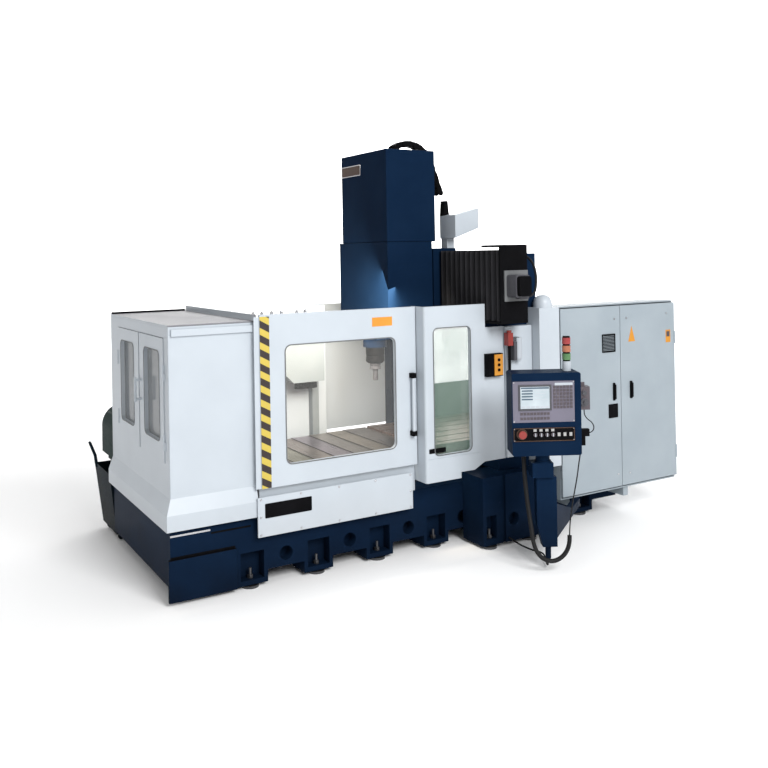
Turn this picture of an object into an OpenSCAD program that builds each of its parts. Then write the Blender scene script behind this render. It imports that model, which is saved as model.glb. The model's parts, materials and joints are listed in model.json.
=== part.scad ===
// Double column machining center with a moving table, a cross beam with a
// travelling head, a guarded work area, an electrical cabinet and a pendant.
// Millimetres. X runs along the bed, Y away from the operator, Z up.
// Shapes are drawn from the bed's left end and front plane, and placed()
// moves them so that the origin is below the middle of the whole machine.

/* [Bed] */
// Length of the bed casting
bed_l = 4390; // [4390:10:4600]
// Half width of the bed casting, from the machine axis
bed_half_w = 810; // [790:5:830]
// Height of the bed's top face
bed_h = 520; // [500:5:540]
// Height of the arches between the feet
arch_h = 120; // [80:5:150]
// Height of the levelling pads
pad_h = 28; // [20:1:40]
// Diameter of a levelling pad
pad_d = 130; // [100:5:150]
// Distance between neighbouring feet
foot_pitch = 555; // [540:5:570]
// Length of one foot block
foot_l = 250; // [220:5:280]
// Width of one foot block across the bed
foot_w = 260; // [200:10:300]
// Length of the pocket in a foot
pocket_l = 188; // [160:2:200]
// Height of the pocket in a foot
pocket_h = 209; // [180:1:220]
// Depth of the pockets and core holes
pocket_t = 100; // [60:5:120]
// Diameter of the core holes between the feet
core_d = 110; // [80:5:130]

/* [Guideways] */
// Distance of a table guide from the machine axis
guide_offset = 330; // [280:5:350]
// Width of a guide rail
rail_w = 55; // [45:1:65]
// Height of a guide rail
rail_h = 48; // [40:1:55]

/* [Table] */
// Length of the table
table_l = 1600; // [1500:10:1620]
// Half width of the table
table_half_w = 550; // [500:5:560]
// Thickness of the table
table_t = 150; // [120:5:170]
// Number of T slots
slot_count = 6; // [4:1:7]
// Mouth width of a T slot
slot_w = 22; // [18:1:28]
// Width of the wide part of a T slot
slot_foot_w = 37; // [32:1:42]
// Depth of a T slot
slot_t = 40; // [34:1:50]
// Height of the wide part of a T slot
slot_foot_h = 16; // [12:1:20]

/* [Way covers] */
// Length of a way cover that is fully closed
closed_cover_l = 290; // [280:1:300]
// Number of telescopic plates on each side of the table
plate_count = 12; // [8:1:12]
// Length of one telescopic plate
plate_l = 245; // [240:1:250]
// Thickness of a telescopic plate
plate_t = 2.5; // [2:0.5:3]
// Height that each plate stands over the one it covers
plate_step = 3.2; // [3:0.1:3.4]

/* [Enclosure] */
// Height of the enclosure's plain panels
wall_h = 1998; // [1950:1:2050]
// Extra height of the door, its rail and the curb
curb_h = 58; // [40:1:80]
// Thickness of an enclosure wall
wall_t = 30; // [20:1:40]
// Length of the roofed bay at the left end
bay_l = 680; // [640:5:700]
// Distance that the right front panel stands out from the front plane
bump_out = 180; // [120:5:200]
// Left edge of the right front panel
bump_x = 2071; // [2060:1:2090]
// Radius of the right front panel's upright corner
bump_r = 24; // [16:1:28]
// Right edge of the right front panel
bump_end_x = 2890; // [2860:5:2900]
// Distance that the lower skirt flares out
flare = 40; // [20:1:60]
// Thickness of a window pane
glass_t = 6; // [4:1:8]
// Height of the guards round the bed's right end
guard_top = 1100; // [1000:10:1150]

/* [Front door] */
// Distance that the sliding door opens
door_travel = 640; // [500:10:640]
// Thickness of the sliding door
door_t = 30; // [25:1:35]
// Width of the door window
door_win_w = 970; // [900:5:1000]
// Height of the door window
door_win_h = 897; // [820:1:920]
// Corner radius of the windows
win_r = 45; // [20:1:60]
// Length of the door handle
handle_l = 516; // [400:1:560]

/* [End doors] */
// Width of one end door leaf
leaf_w = 640; // [600:1:650]
// Height of an end door leaf
leaf_h = 910; // [860:1:930]

/* [Columns and beam] */
// Height of the columns
column_h = 1880; // [1870:1:1900]
// Depth of a column along the bed
column_l = 440; // [400:1:460]
// Width of a column across the bed
column_w = 280; // [240:1:300]
// Height of a column's wide base
base_h = 600; // [560:5:605]
// Height of the cross beam casting
beam_h = 600; // [560:1:620]
// Depth of the cross beam casting
beam_t = 400; // [360:1:420]
// Depth of one fold of the bellows
fold_t = 30; // [20:1:30]
// Width of the beam motor
motor_w = 150; // [130:5:180]
// Length of the beam motor
motor_l = 120; // [100:5:140]
// Number of folds in the near bellows
near_folds = 12; // [8:1:16]
// Number of folds in the far bellows
far_folds = 12; // [8:1:16]

/* [Head] */
// Width of the head
head_w = 830; // [800:1:840]
// Depth of the head
head_t = 500; // [480:1:505]
// Height of the head's upper cover
cover_h = 820; // [760:1:860]
// Height of the head's lower body
body_h = 880; // [860:1:900]
// Diameter of the spindle nose
nose_d = 170; // [150:1:190]
// Diameter of the tool shank
tool_d = 50; // [32:1:63]
// Length of the tool below the spindle nose
tool_l = 160; // [100:1:180]
// Radius of the drag chain's arch
chain_r = 260; // [240:5:280]
// Height of a drag chain link
link_h = 54; // [44:2:60]
// Width of a drag chain link
link_w = 80; // [60:5:90]

/* [Cabinet] */
// Width of the electrical cabinet
cabinet_w = 1460; // [1400:5:1500]
// Height of the electrical cabinet
cabinet_h = 1716; // [1650:1:1740]
// Depth of the electrical cabinet
cabinet_t = 300; // [280:1:310]
// Thickness of the cabinet's sheet walls
sheet_t = 12; // [8:1:16]

/* [Pendant] */
// Width of the pendant
pendant_w = 540; // [520:1:560]
// Height of the pendant
pendant_h = 640; // [600:1:680]
// Depth of the pendant
pendant_t = 220; // [200:5:230]
// Width of the pendant's screen
screen_w = 231; // [200:1:240]
// Height of the pendant's screen
screen_h = 172; // [150:1:180]
// Size of one key
key_w = 20; // [16:1:22]
// Diameter of the stop button
stop_d = 60; // [40:2:64]
// Width of the hand unit at the pendant's side
wheel_w = 88; // [70:1:95]
// Turn of the pendant towards the operator
pendant_turn = -28; // [-40:1:0]

/* [Hidden] */
$fn = 48;
navy = [0.06, 0.09, 0.2];
white = [0.93, 0.94, 0.95];
steel = [0.75, 0.76, 0.78];
black = [0.05, 0.05, 0.06];
rubber = [0.1, 0.1, 0.11];
clear_glass = [0.6, 0.72, 0.7, 0.5];

// Clearances and overlaps
gap = 0.3;
clear = 6;
edge = 1;

// Places along the bed, across it and above the floor
axis_y = 830;
bed_y0 = axis_y - bed_half_w;
bed_y1 = axis_y + bed_half_w;
foot_x0 = 500;
foot_count = 7;
pocket_z = 65;
core_z = 215;
stem_d = 44;
corner_h = 330;
way_h = 40;
way_w = 140;
rail_z = bed_h + way_h;
cover_x0 = 100;
cover_x1 = bed_l - cover_x0;
cover_half_w = table_half_w + 50;
table_x0 = cover_x1 - closed_cover_l - table_l;
table_z0 = rail_z + rail_h + 40;
table_z = table_z0 + table_t;
plate_top = table_z - 53;
base_x0 = 2571;
base_x1 = 3180;
base_y0 = -270;
pillar_w = 204;
joint_w = 36;
base_pad_x = 88;
base_pad_y = 40;
base_pocket_w = 107;
base_pocket_h = 195;
base_pocket_z = 80;
column_hole_x = 2898;
col_x0 = 2860;
col_y0 = -130;
beam_x0 = col_x0 + 40;
beam_y0 = -390;
beam_y1 = 2 * axis_y - beam_y0;
beam_z1 = column_h + beam_h;
beam_rail_inset = 90;
bellows_x0 = 2700;
end_cover_w = 290;
end_cover_t = 20;
motor_x = 2830;
motor_z = column_h + 330;
plug_x = 2935;
plug_y = -450;
plug_z = 2120;
saddle_x0 = 2640;
saddle_inset = 100;
saddle_rail_w = 40;
saddle_rail_h = 34;
saddle_z0 = column_h + 24;
saddle_z1 = column_h + 660;
carriage_w = 70;
head_rail_y = 250;
spindle_x = 2200;
spindle_y = axis_y + 20;
head_x0 = 2090;
head_y0 = axis_y - head_w / 2;
body_z0 = 1720;
head_top = body_z0 + body_h + cover_h;
chain_x = 2475;
chain_z = head_top - 173;
chain_y0 = head_y0 + 225;
chain_lean = 20.6;
chain_start = 125.2;
arch_links = 8;
leg_links = 5;
duct_x0 = 2790;
duct_y0 = 370;
duct_y1 = chain_y0 - 20;
duct_z0 = column_h + 750;
nose_l = 230;
bore_d = 120;
wall_top = wall_h + curb_h;
curb_w = 20;
bump_z0 = 610;
notch_x = 2690;
side_win_x = 2160;
side_win_z = 830;
side_win_w = 210;
side_win_h = 1042;
notch_z = column_h - 25;
door_x0 = bay_l;
door_x1 = bump_x - clear;
door_z0 = 750;
door_y = -42;
rail_y0 = -22;
door_rail_z = wall_h - 18;
door_win_x = 890;
door_win_z = 913;
hanger_w = 60;
apron_x0 = 643;
apron_x1 = 2013;
apron_z0 = 394;
apron_z1 = 690;
leaf_z0 = 1005;
leaf_gap = 4;
leaf_t = 30;
leaf_hinge_x = -6;
leaf_hinge_y0 = 100 + leaf_gap;
leaf_hinge_y1 = 120 + 2 * leaf_w - leaf_gap;
hinge_r = 9;
hinge_h = 60;
leaf_hinge_z = [1100, 1600];
leaf_win_y = [205, 905];
end_win_z = 1150;
end_win_w = 400;
end_win_h = 660;
side_t = 12;
cover_y0 = -200;
panel_x0 = 3190;
guard_x0 = col_x0 + column_l + 10;
guard_t = 30;
cab_x0 = 3430;
cab_x1 = cab_x0 + cabinet_w;
cab_y0 = -300;
cab_z0 = 284;
cab_z1 = cab_z0 + cabinet_h;
cab_door_t = 24;
cab_hinge_z = [cab_z0 + 200, cab_z0 + 1300];
leg_x = cab_x0 + 150;
leg_w = 60;
conveyor_y0 = bed_y1 + 20;
conveyor_y1 = 2240;
bin_x0 = -30;
bin_x1 = 440;
trolley_z = 60;
changer_x0 = 1500;
changer_x1 = 1900;
changer_y1 = 2 * axis_y - wall_t;
changer_t = 330;
changer_z0 = 1300;
changer_z1 = 1780;
handle_r = 12;
handle_reach = 55;
post_x = 2700;
post_y = -880;
post_z0 = 190;
post_z1 = 735;
post_w = 158;
post_t = 90;
swivel_z = 860;
pendant_z0 = 916;
pendant_z1 = pendant_z0 + pendant_h;
pendant_x0 = 14 - pendant_w / 2;
pendant_x1 = 14 + pendant_w / 2;
recess = 8;
face_x0 = pendant_x0 + 7;
face_z0 = pendant_z0 + 259;
face_z1 = face_z0 + 319;
strip_z0 = pendant_z0 + 110;
strip_z1 = strip_z0 + 110;
gland_z = 90;
lamp_d = 66;
unit_z0 = 1253;
unit_z1 = 1433;
bar_w = 55;
arm_from = [2762, -882];
arm_to = [3610, -275];
x_low = bin_x0 - handle_reach - handle_r;
x_high = cab_x1 - 2 + hinge_r;
y_low = post_y + pendant_x1 * sin(pendant_turn) - pendant_t / 2 * cos(pendant_turn);
y_high = conveyor_y1;

module placed() {
  translate([-(x_low + x_high) / 2, -(y_low + y_high) / 2, 0]) children();
}

// A box between two opposite corners
module block(a, b) {
  translate(a) cube(b - a);
}

// A mirrored copy across the machine axis
module far_side() {
  translate([0, 2 * axis_y, 0]) mirror([0, 1, 0]) children();
}

// A rectangle with round corners
module round_rect(w, h, r) {
  hull()
    for (x = [r, w - r], y = [r, h - r]) translate([x, y]) circle(r, $fn = 24);
}

// A flat outline in X and Z, given depth from y0 to y1
module upright(y0, y1) {
  translate([0, y1, 0]) rotate([90, 0, 0]) linear_extrude(y1 - y0) children();
}

// An upright window cutter whose pane stands across Y
module window_y(x, z, w, h, y0, y1, r = win_r) {
  upright(y0, y1) translate([x, z]) round_rect(w, h, r);
}

// An upright window cutter whose pane stands across X
module window_x(y, z, w, h, x0, x1, r = win_r) {
  translate([x0, y, z]) rotate([90, 0, 90])
    linear_extrude(x1 - x0) round_rect(w, h, r);
}

// A short upright hinge knuckle, and the room that it needs in its neighbour
module knuckle(x, y, z) {
  translate([x, y, z]) cylinder(h = hinge_h, r = hinge_r);
}

module knuckle_room(x, y, z) {
  translate([x, y, z - 0.5]) cylinder(h = hinge_h + 1, r = hinge_r + 0.5);
}

module bed_casting() {
  inset = 40;
  foot_step = (foot_pitch + foot_l) / 2;
  color(navy) placed() difference() {
    union() {
      block([0, bed_y0, arch_h], [bed_l, bed_y1, bed_h]);
      for (i = [0:foot_count - 1], y = [bed_y0, bed_y1 - foot_w])
        translate([foot_x0 + i * foot_pitch, y, pad_h]) cube([foot_l, foot_w, arch_h]);
      for (s = [-1, 1])
        translate([inset, axis_y + s * guide_offset - way_w / 2, bed_h - edge])
          cube([bed_l - 2 * inset, way_w, way_h + edge]);
    }
    for (i = [0:foot_count - 1], y = [bed_y0 - edge, bed_y1 - pocket_t])
      translate([foot_x0 + (foot_l - pocket_l) / 2 + i * foot_pitch, y, pocket_z])
        cube([pocket_l, pocket_t + edge, pocket_h]);
    for (i = [0:foot_count - 2], y = [bed_y0 - edge, bed_y1 - pocket_t])
      translate([foot_x0 + foot_step + i * foot_pitch, y, core_z])
        rotate([-90, 0, 0]) cylinder(h = pocket_t + edge, d = core_d);
  }
}

// A pad under a foot, with its stem
module pad() {
  disc_h = pad_h - 10;
  cylinder(h = disc_h, d = pad_d, $fn = 32);
  translate([0, 0, disc_h]) cylinder(h = pad_h - disc_h, d = stem_d, $fn = 16);
}

// The nut and stud that stand in a foot's pocket
module pad_bolt(z) {
  translate([0, 0, z]) cylinder(h = 26, d = stem_d, $fn = 6);
  translate([0, 0, z + 26]) cylinder(h = 50, d = stem_d / 2, $fn = 14);
}

module levelling_pads() {
  inset = pocket_t / 2;
  color(steel) placed() {
    for (i = [0:foot_count - 1], y = [bed_y0 + inset, bed_y1 - inset])
      translate([foot_x0 + foot_l / 2 + i * foot_pitch, y, 0]) {
        pad();
        pad_bolt(pocket_z);
      }
    for (y = [base_y0 + base_pad_y, 2 * axis_y - base_y0 - base_pad_y]) {
      translate([base_x0 + base_pad_x, y, 0]) {
        pad();
        pad_bolt(base_pocket_z);
      }
      translate([base_x1 - base_pad_x, y, 0]) pad();
    }
  }
}

// A sheet cover round the bed's left front corner
module bed_corner_cover() {
  wall = 20;
  x1 = foot_x0 - clear;
  color(navy) placed() difference() {
    block([-wall, -10, pad_h], [x1, bed_y0, corner_h]);
    block([0, 0, pad_h - edge], [x1 - wall, bed_y0 + edge, corner_h - wall]);
  }
}

module table_rails() {
  inset = 60;
  color(steel) placed()
    for (s = [-1, 1])
      translate([inset, axis_y + s * guide_offset - rail_w / 2, rail_z])
        cube([bed_l - 2 * inset, rail_w, rail_h]);
}

// One column, with its wide base bolted to the bed's side
module column() {
  pocket_x = base_x0 + base_pad_x;
  difference() {
    union() {
      block([base_x0, base_y0, pad_h], [base_x1, bed_y0 - 0.5, base_h]);
      block([col_x0, col_y0, base_h - edge], [col_x0 + column_l, col_y0 + column_w, column_h]);
    }
    block([pocket_x - base_pocket_w / 2, base_y0 - edge, base_pocket_z],
      [pocket_x + base_pocket_w / 2, base_y0 + 2 * base_pad_y, base_pocket_z + base_pocket_h]);
    block([base_x0 + pillar_w, base_y0 - edge, pad_h - edge],
      [base_x0 + pillar_w + joint_w, base_y0 + 20, base_h + edge]);
    translate([column_hole_x, base_y0 - edge, core_z])
      rotate([-90, 0, 0]) cylinder(h = 2 * base_pad_y, d = core_d);
  }
}

module column_near() {
  color(navy) placed() column();
}

module column_far() {
  color(navy) placed() far_side() column();
}

module cross_beam() {
  pocket_w = 420;
  pitch = 560;
  depth = 60;
  rim = 110;
  color(navy) placed() difference() {
    block([beam_x0, col_y0, column_h], [beam_x0 + beam_t, 2 * axis_y - col_y0, beam_z1]);
    for (i = [-1, 0, 1])
      translate([beam_x0 + beam_t - depth, axis_y + i * pitch - pocket_w / 2, column_h + rim])
        cube([depth + edge, pocket_w, beam_h - 2 * rim]);
  }
}

module beam_rails() {
  inset = 20;
  color(steel) placed()
    for (z = [column_h + beam_rail_inset, beam_z1 - beam_rail_inset])
      block([beam_x0 - rail_h, col_y0 + inset, z - rail_w / 2],
        [beam_x0, 2 * axis_y - col_y0 - inset, z + rail_w / 2]);
}

// The black box that closes one end of the beam
module end_cover() {
  x1 = bellows_x0 + end_cover_w;
  z0 = column_h + 10;
  z1 = beam_z1 + 76;
  wall = end_cover_t;
  difference() {
    block([bellows_x0, beam_y0, z0], [x1, col_y0, z1]);
    block([bellows_x0 - edge, beam_y0 + wall, z0 + wall], [x1 - wall, col_y0 + edge, z1 - wall]);
  }
}

module beam_covers() {
  color(black) placed() {
    end_cover();
    far_side() end_cover();
  }
}

// The cross drive's motor on a flange, with its rear cap and its plug
module beam_motor() {
  tall = 190;
  cap_l = 36;
  cap_in = 12;
  flange_t = 12;
  y0 = beam_y0 - flange_t;
  color([0.55, 0.54, 0.6]) placed() {
    block([motor_x - 95, y0, motor_z - 130], [bellows_x0 + end_cover_w - 5, beam_y0, motor_z + 130]);
    window_y(motor_x - motor_w / 2, motor_z - tall / 2, motor_w, tall,
      y0 - motor_l, y0 + edge, 24);
    window_y(motor_x - motor_w / 2 + cap_in, motor_z - tall / 2 + cap_in,
      motor_w - 2 * cap_in, tall - 2 * cap_in, y0 - motor_l - cap_l, y0 - motor_l + edge, 24);
    block([motor_x, plug_y - 20, plug_z - 20], [plug_x, plug_y + 20, plug_z + 20]);
  }
}

// Accordion folds from y0 to y1, open at the back
module folds(y0, y1, count) {
  sheet = 4;
  pitch = (y1 - y0) / count;
  function fold_x(i) = bellows_x0 + (i % 2 == 0 ? fold_t : 0);
  points = concat(
    [for (i = [0:2 * count]) [fold_x(i), y0 + i * pitch / 2]],
    [for (i = [2 * count:-1:0]) [fold_x(i) + sheet, y0 + i * pitch / 2]]
  );
  translate([0, 0, column_h + 34]) linear_extrude(beam_h) polygon(points);
}

module bellows_near() {
  color(rubber) placed()
    folds(beam_y0 + end_cover_t + gap, head_y0 + saddle_inset - gap, near_folds);
}

module bellows_far() {
  color(rubber) placed()
    folds(head_y0 + head_w - saddle_inset + gap, beam_y1 - end_cover_t - gap, far_folds);
}

// The flared outline shared by the bay's front panel and end wall
module skirt_profile() {
  sheet = 8;
  bend_z = 770;
  flare_z = 660;
  skirt_z = bed_h + 24;
  polygon([[0, wall_h], [0, bend_z], [-flare, flare_z], [-flare, skirt_z],
    [-flare + sheet, skirt_z], [-flare + sheet, flare_z - 5], [wall_t, bend_z - 6],
    [wall_t, wall_h]]);
}

// Everything on one side of the mitre at the left front corner
module mitre(side) {
  reach = 2 * (flare + wall_t);
  rotate([0, 0, 45])
    block([-reach, side > 0 ? -0.1 : -reach, 0], [reach, side > 0 ? reach : 0.1, wall_top]);
}

module left_front_panel() {
  color(white) placed() difference() {
    translate([-flare, 0, 0]) rotate([90, 0, 90])
      linear_extrude(bay_l + flare - curb_w) skirt_profile();
    mitre(1);
  }
}

// The places of the two end doors along Y
leaf_y = [100, 120 + leaf_w];

module left_end_wall() {
  color(white) placed() {
    difference() {
      upright(-flare, 2 * axis_y) skirt_profile();
      mitre(-1);
      for (y = leaf_y)
        block([-edge, y, leaf_z0], [wall_t + edge, y + leaf_w, leaf_z0 + leaf_h]);
      for (z = leaf_hinge_z, y = [leaf_hinge_y0, leaf_hinge_y1])
        knuckle_room(leaf_hinge_x, y, z + hinge_h + 0.5);
    }
    for (z = leaf_hinge_z) {
      knuckle(leaf_hinge_x, leaf_hinge_y0, z);
      knuckle(leaf_hinge_x, leaf_hinge_y1, z);
      block([leaf_hinge_x, leaf_hinge_y0 - 30, z], [0, leaf_hinge_y0, z + hinge_h]);
      block([leaf_hinge_x, leaf_hinge_y1, z], [0, leaf_hinge_y1 + 30, z + hinge_h]);
    }
  }
}

module left_roof() {
  color(white) placed() {
    block([0, 0, wall_h], [bay_l - curb_w, 2 * axis_y, wall_h + 12]);
    block([bay_l - curb_w, 0, wall_h - 20], [bay_l - 1, 2 * axis_y - wall_t - 1, wall_top]);
  }
}

// The stepped outline of the right front panel, seen from the front
module bump_profile() {
  polygon([[bump_x, bump_z0], [2420, bump_z0], [2420, bump_z0 + 50], [2560, bump_z0 + 50],
    [2667, bump_z0 + 105], [bump_end_x, bump_z0 + 105], [bump_end_x, notch_z],
    [notch_x, notch_z], [notch_x, wall_top], [bump_x, wall_top]]);
}

// The panel and its return to the door, seen from above
module bump_plan() {
  difference() {
    hull() {
      translate([bump_x + bump_r, bump_r - bump_out]) circle(bump_r);
      translate([bump_x, 0]) square([bump_r, 20]);
      translate([bump_end_x - bump_r, -bump_out]) square([bump_r, bump_out + 20]);
    }
    translate([bump_x + side_t, wall_t - bump_out])
      square([bump_end_x - bump_x, bump_out + wall_t]);
  }
}

module right_front_panel() {
  seam_z = 800;
  color(white) placed() difference() {
    intersection() {
      linear_extrude(wall_top) bump_plan();
      upright(-bump_out - edge, wall_t) bump_profile();
    }
    window_y(side_win_x, side_win_z, side_win_w, side_win_h, -bump_out - edge,
      wall_t - bump_out + edge, 30);
    block([bump_x - edge, -bump_out - edge, seam_z], [2610, 3 - bump_out, seam_z + 5]);
  }
}

module side_window() {
  rim = 20;
  y0 = wall_t - bump_out;
  color(clear_glass) placed()
    block([side_win_x - rim, y0, side_win_z - rim],
      [side_win_x + side_win_w + rim, y0 + glass_t, side_win_z + side_win_h + rim]);
}

module rear_wall() {
  far_z0 = bump_z0 + 110;
  y1 = wall_t - bump_out;
  color(white) placed() {
    block([wall_t + 1, 2 * axis_y - wall_t, bed_h + 0.5], [bump_x, 2 * axis_y, wall_h]);
    far_side() {
      block([bump_x, -bump_out, bump_z0], [bump_x + side_t, wall_t, wall_h]);
      block([bump_x + side_t, -bump_out, far_z0], [notch_x, y1, wall_h]);
      block([notch_x, -bump_out, far_z0], [bump_end_x, y1, notch_z]);
    }
  }
}

module right_guards() {
  z0 = bed_h + 0.5;
  y0 = bed_y0 + guard_t;
  color(white) placed() {
    far_side() block([guard_x0, bed_y0, z0], [bed_l, y0, guard_top]);
    block([guard_x0, bed_y0, z0], [bed_l, y0, guard_top]);
    block([bed_l - guard_t, y0, z0], [bed_l, 2 * axis_y - y0, guard_top]);
  }
}

// The sill below the door, and the apron plate held in front of it
module front_sill() {
  sheet = 12;
  apron_y = -60;
  color(white) placed() {
    block([bay_l + 1, 0, bed_h + 0.5], [bump_x - 1, bed_y0, door_z0 - 10]);
    block([apron_x0, apron_y, apron_z0], [apron_x1, apron_y + sheet, apron_z1]);
    block([bay_l + 1, apron_y + sheet, bed_h + 20], [apron_x1, 0, bed_h + 60]);
  }
}

module door_rail() {
  color(steel) placed() block([door_x0 - door_travel - 20, rail_y0, door_rail_z - 50], [bump_x, 0, door_rail_z]);
}

// Two plates behind the door's top edge, each with a wheel that runs on the rail
module door_hangers() {
  wheel_r = 18;
  plate = 6;
  back_y = door_y + door_t / 2;
  color(steel) placed()
    for (x = [door_x0 + 80, door_x1 - 80 - hanger_w]) {
      block([x, back_y, door_rail_z + 4], [x + hanger_w, back_y + plate, wall_top - 10]);
      translate([x + hanger_w / 2, back_y + plate - edge, door_rail_z + gap + wheel_r])
        rotate([-90, 0, 0]) cylinder(h = 16, r = wheel_r);
    }
}

module sliding_door() {
  front_y = door_y - door_t / 2;
  color(white) placed() difference() {
    block([door_x0, front_y, door_z0], [door_x1, front_y + door_t, wall_top]);
    window_y(door_win_x, door_win_z, door_win_w, door_win_h, front_y - edge,
      front_y + door_t + edge);
  }
}

module sliding_door_window() {
  rim = 20;
  back_y = door_y + door_t / 2;
  color(clear_glass) placed()
    block([door_win_x - rim, back_y, door_win_z - rim],
      [door_win_x + door_win_w + rim, back_y + glass_t, door_win_z + door_win_h + rim]);
}

module sliding_door_handle() {
  foot = 40;
  x = 2015;
  z = 996;
  y = -90;
  color(black) placed() {
    for (i = [0, 1])
      block([x - foot / 2, y - 17, z + i * (handle_l - foot)],
        [x + foot / 2, door_y - door_t / 2, z + i * (handle_l - foot) + foot]);
    translate([x, y, z + foot]) cylinder(h = handle_l - 2 * foot, d = 28);
  }
}

// One end door leaf with its window opening
module leaf(y0, win_y, hinge_y) {
  back_x = leaf_hinge_x + leaf_t;
  difference() {
    block([leaf_hinge_x, y0 + leaf_gap, leaf_z0 + leaf_gap],
      [back_x, y0 + leaf_w - leaf_gap, leaf_z0 + leaf_h - leaf_gap]);
    window_x(win_y, end_win_z, end_win_w, end_win_h, leaf_hinge_x - edge, back_x + edge, 30);
    for (z = leaf_hinge_z) knuckle_room(leaf_hinge_x, hinge_y, z);
  }
  for (z = leaf_hinge_z) knuckle(leaf_hinge_x, hinge_y, z + hinge_h + 0.5);
}

// The pane behind a leaf's window opening
module leaf_pane(win_y) {
  rim = 20;
  back_x = leaf_hinge_x + leaf_t;
  block([back_x, win_y - rim, end_win_z - rim],
    [back_x + glass_t, win_y + end_win_w + rim, end_win_z + end_win_h + rim]);
}

// The near leaf, with a bent bar handle beside the meeting edge
module end_door_near() {
  y = 700;
  z0 = 1377;
  z1 = 1566;
  x = leaf_hinge_x - 45;
  color(white) placed() {
    leaf(leaf_y[0], leaf_win_y[0], leaf_hinge_y0);
    translate([x, y, z0]) cylinder(h = z1 - z0, d = 20, $fn = 24);
    for (z = [z0 + 20, z1 - 20])
      translate([x, y, z]) rotate([0, 90, 0]) cylinder(h = 50, d = 20, $fn = 24);
  }
}

module end_door_far() {
  color(white) placed() leaf(leaf_y[1], leaf_win_y[1], leaf_hinge_y1);
}

module end_window_near() {
  color(clear_glass) placed() leaf_pane(leaf_win_y[0]);
}

module end_window_far() {
  color(clear_glass) placed() leaf_pane(leaf_win_y[1]);
}

module switch_box() {
  z1 = column_h - 250;
  color(black) placed()
    block([2675, -bump_out - 45, z1 - 194], [2843, -bump_out, z1]);
}

// The cover in front of the column, and the panel beside the cabinet with its round cap
module column_cover() {
  x0 = bump_end_x + 5;
  cap_r = 84;
  cap_x = (panel_x0 + cab_x0 - 12) / 2;
  color(white) placed() {
    block([x0, cover_y0, bump_z0 + 110], [panel_x0 - 5, col_y0, column_h - 30]);
    block([panel_x0, cab_y0, base_h + 2], [cab_x0 - 12, col_y0, cab_z1]);
    translate([cap_x, (cab_y0 + col_y0) / 2, cab_z1]) {
      cylinder(h = 31, r = cap_r);
      translate([0, 0, 31]) sphere(cap_r, $fn = 36);
    }
  }
}

// The air service unit, with its lock-out valve, pipe, regulator and filter bowl
module air_unit() {
  y = cover_y0 - 36;
  valve_x = 2905;
  bowl_x = 3000;
  color([0.3, 0.3, 0.32]) placed() {
    block([valve_x - 26, y - 22, 1690], [valve_x + 26, cover_y0, 1800]);
    translate([valve_x, y, 1799]) cylinder(h = 22, d = 40);
    translate([valve_x, y, 1440]) cylinder(h = 251, d = 26);
    translate([valve_x, y, 1453]) rotate([-90, 0, 0]) cylinder(h = 36, d = 26);
    block([valve_x + 25, y - 18, 1722], [bowl_x, cover_y0, 1760]);
    block([2942, y - 22, 1560], [2974, cover_y0, 1723]);
    translate([bowl_x, y, 1575]) cylinder(h = 180, d = 68);
    translate([bowl_x, y, 1549]) cylinder(h = 27, d1 = 36, d2 = 68);
    block([bowl_x - 20, y, 1620], [bowl_x + 20, cover_y0, 1720]);
  }
}

// A fixed knuckle on a strap at one side of the cabinet
module cabinet_hinge(x, side, z) {
  strap = 2.8;
  pin_x = x - side * 2;
  knuckle(pin_x, cab_y0, z);
  translate([side < 0 ? x - 1 : x + 1 - strap, cab_y0, z]) cube([strap, 40, hinge_h]);
}

module cabinet_body() {
  back_y = cab_y0 + cabinet_t;
  front_y = cab_y0 + 30;
  color(white) placed() {
    difference() {
      block([cab_x0, front_y, cab_z0], [cab_x1, back_y, cab_z1]);
      block([cab_x0 + sheet_t, front_y - edge, cab_z0 + sheet_t],
        [cab_x1 - sheet_t, back_y - sheet_t, cab_z1 - sheet_t]);
    }
    for (x = [leg_x, leg_x + 650])
      block([x, front_y + 30, cab_z0 - 90], [x + leg_w, bed_y0, cab_z0]);
    for (z = cab_hinge_z) {
      cabinet_hinge(cab_x0, -1, z);
      cabinet_hinge(cab_x1, 1, z);
    }
    block([cab_x0 + 100, back_y, cab_z0 + 20], [bed_l - 100, bed_y0, cab_z0 + 200]);
  }
}

// One cabinet door between x0 and x1, hinged at hinge_x
module cabinet_leaf(x0, x1, hinge_x) {
  difference() {
    block([x0, cab_y0, cab_z0 + 30], [x1, cab_y0 + cab_door_t, cab_z1 - 20]);
    for (z = cab_hinge_z) knuckle_room(hinge_x, cab_y0, z);
  }
  for (z = cab_hinge_z) knuckle(hinge_x, cab_y0, z + hinge_h + 0.5);
}

module cabinet_door_left() {
  color(white) placed() cabinet_leaf(cab_x0 + 2, cab_x0 + cabinet_w / 2 - 3, cab_x0 + 2);
}

module cabinet_door_right() {
  color(white) placed() cabinet_leaf(cab_x0 + cabinet_w / 2 + 3, cab_x1 - 2, cab_x1 - 2);
}

module cabinet_plate() {
  rim = 60;
  y1 = cab_y0 + cabinet_t - sheet_t;
  color([0.8, 0.6, 0.3]) placed()
    block([cab_x0 + rim, y1 - 4, cab_z0 + rim], [cab_x1 - rim, y1, cab_z1 - rim]);
}

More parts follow.
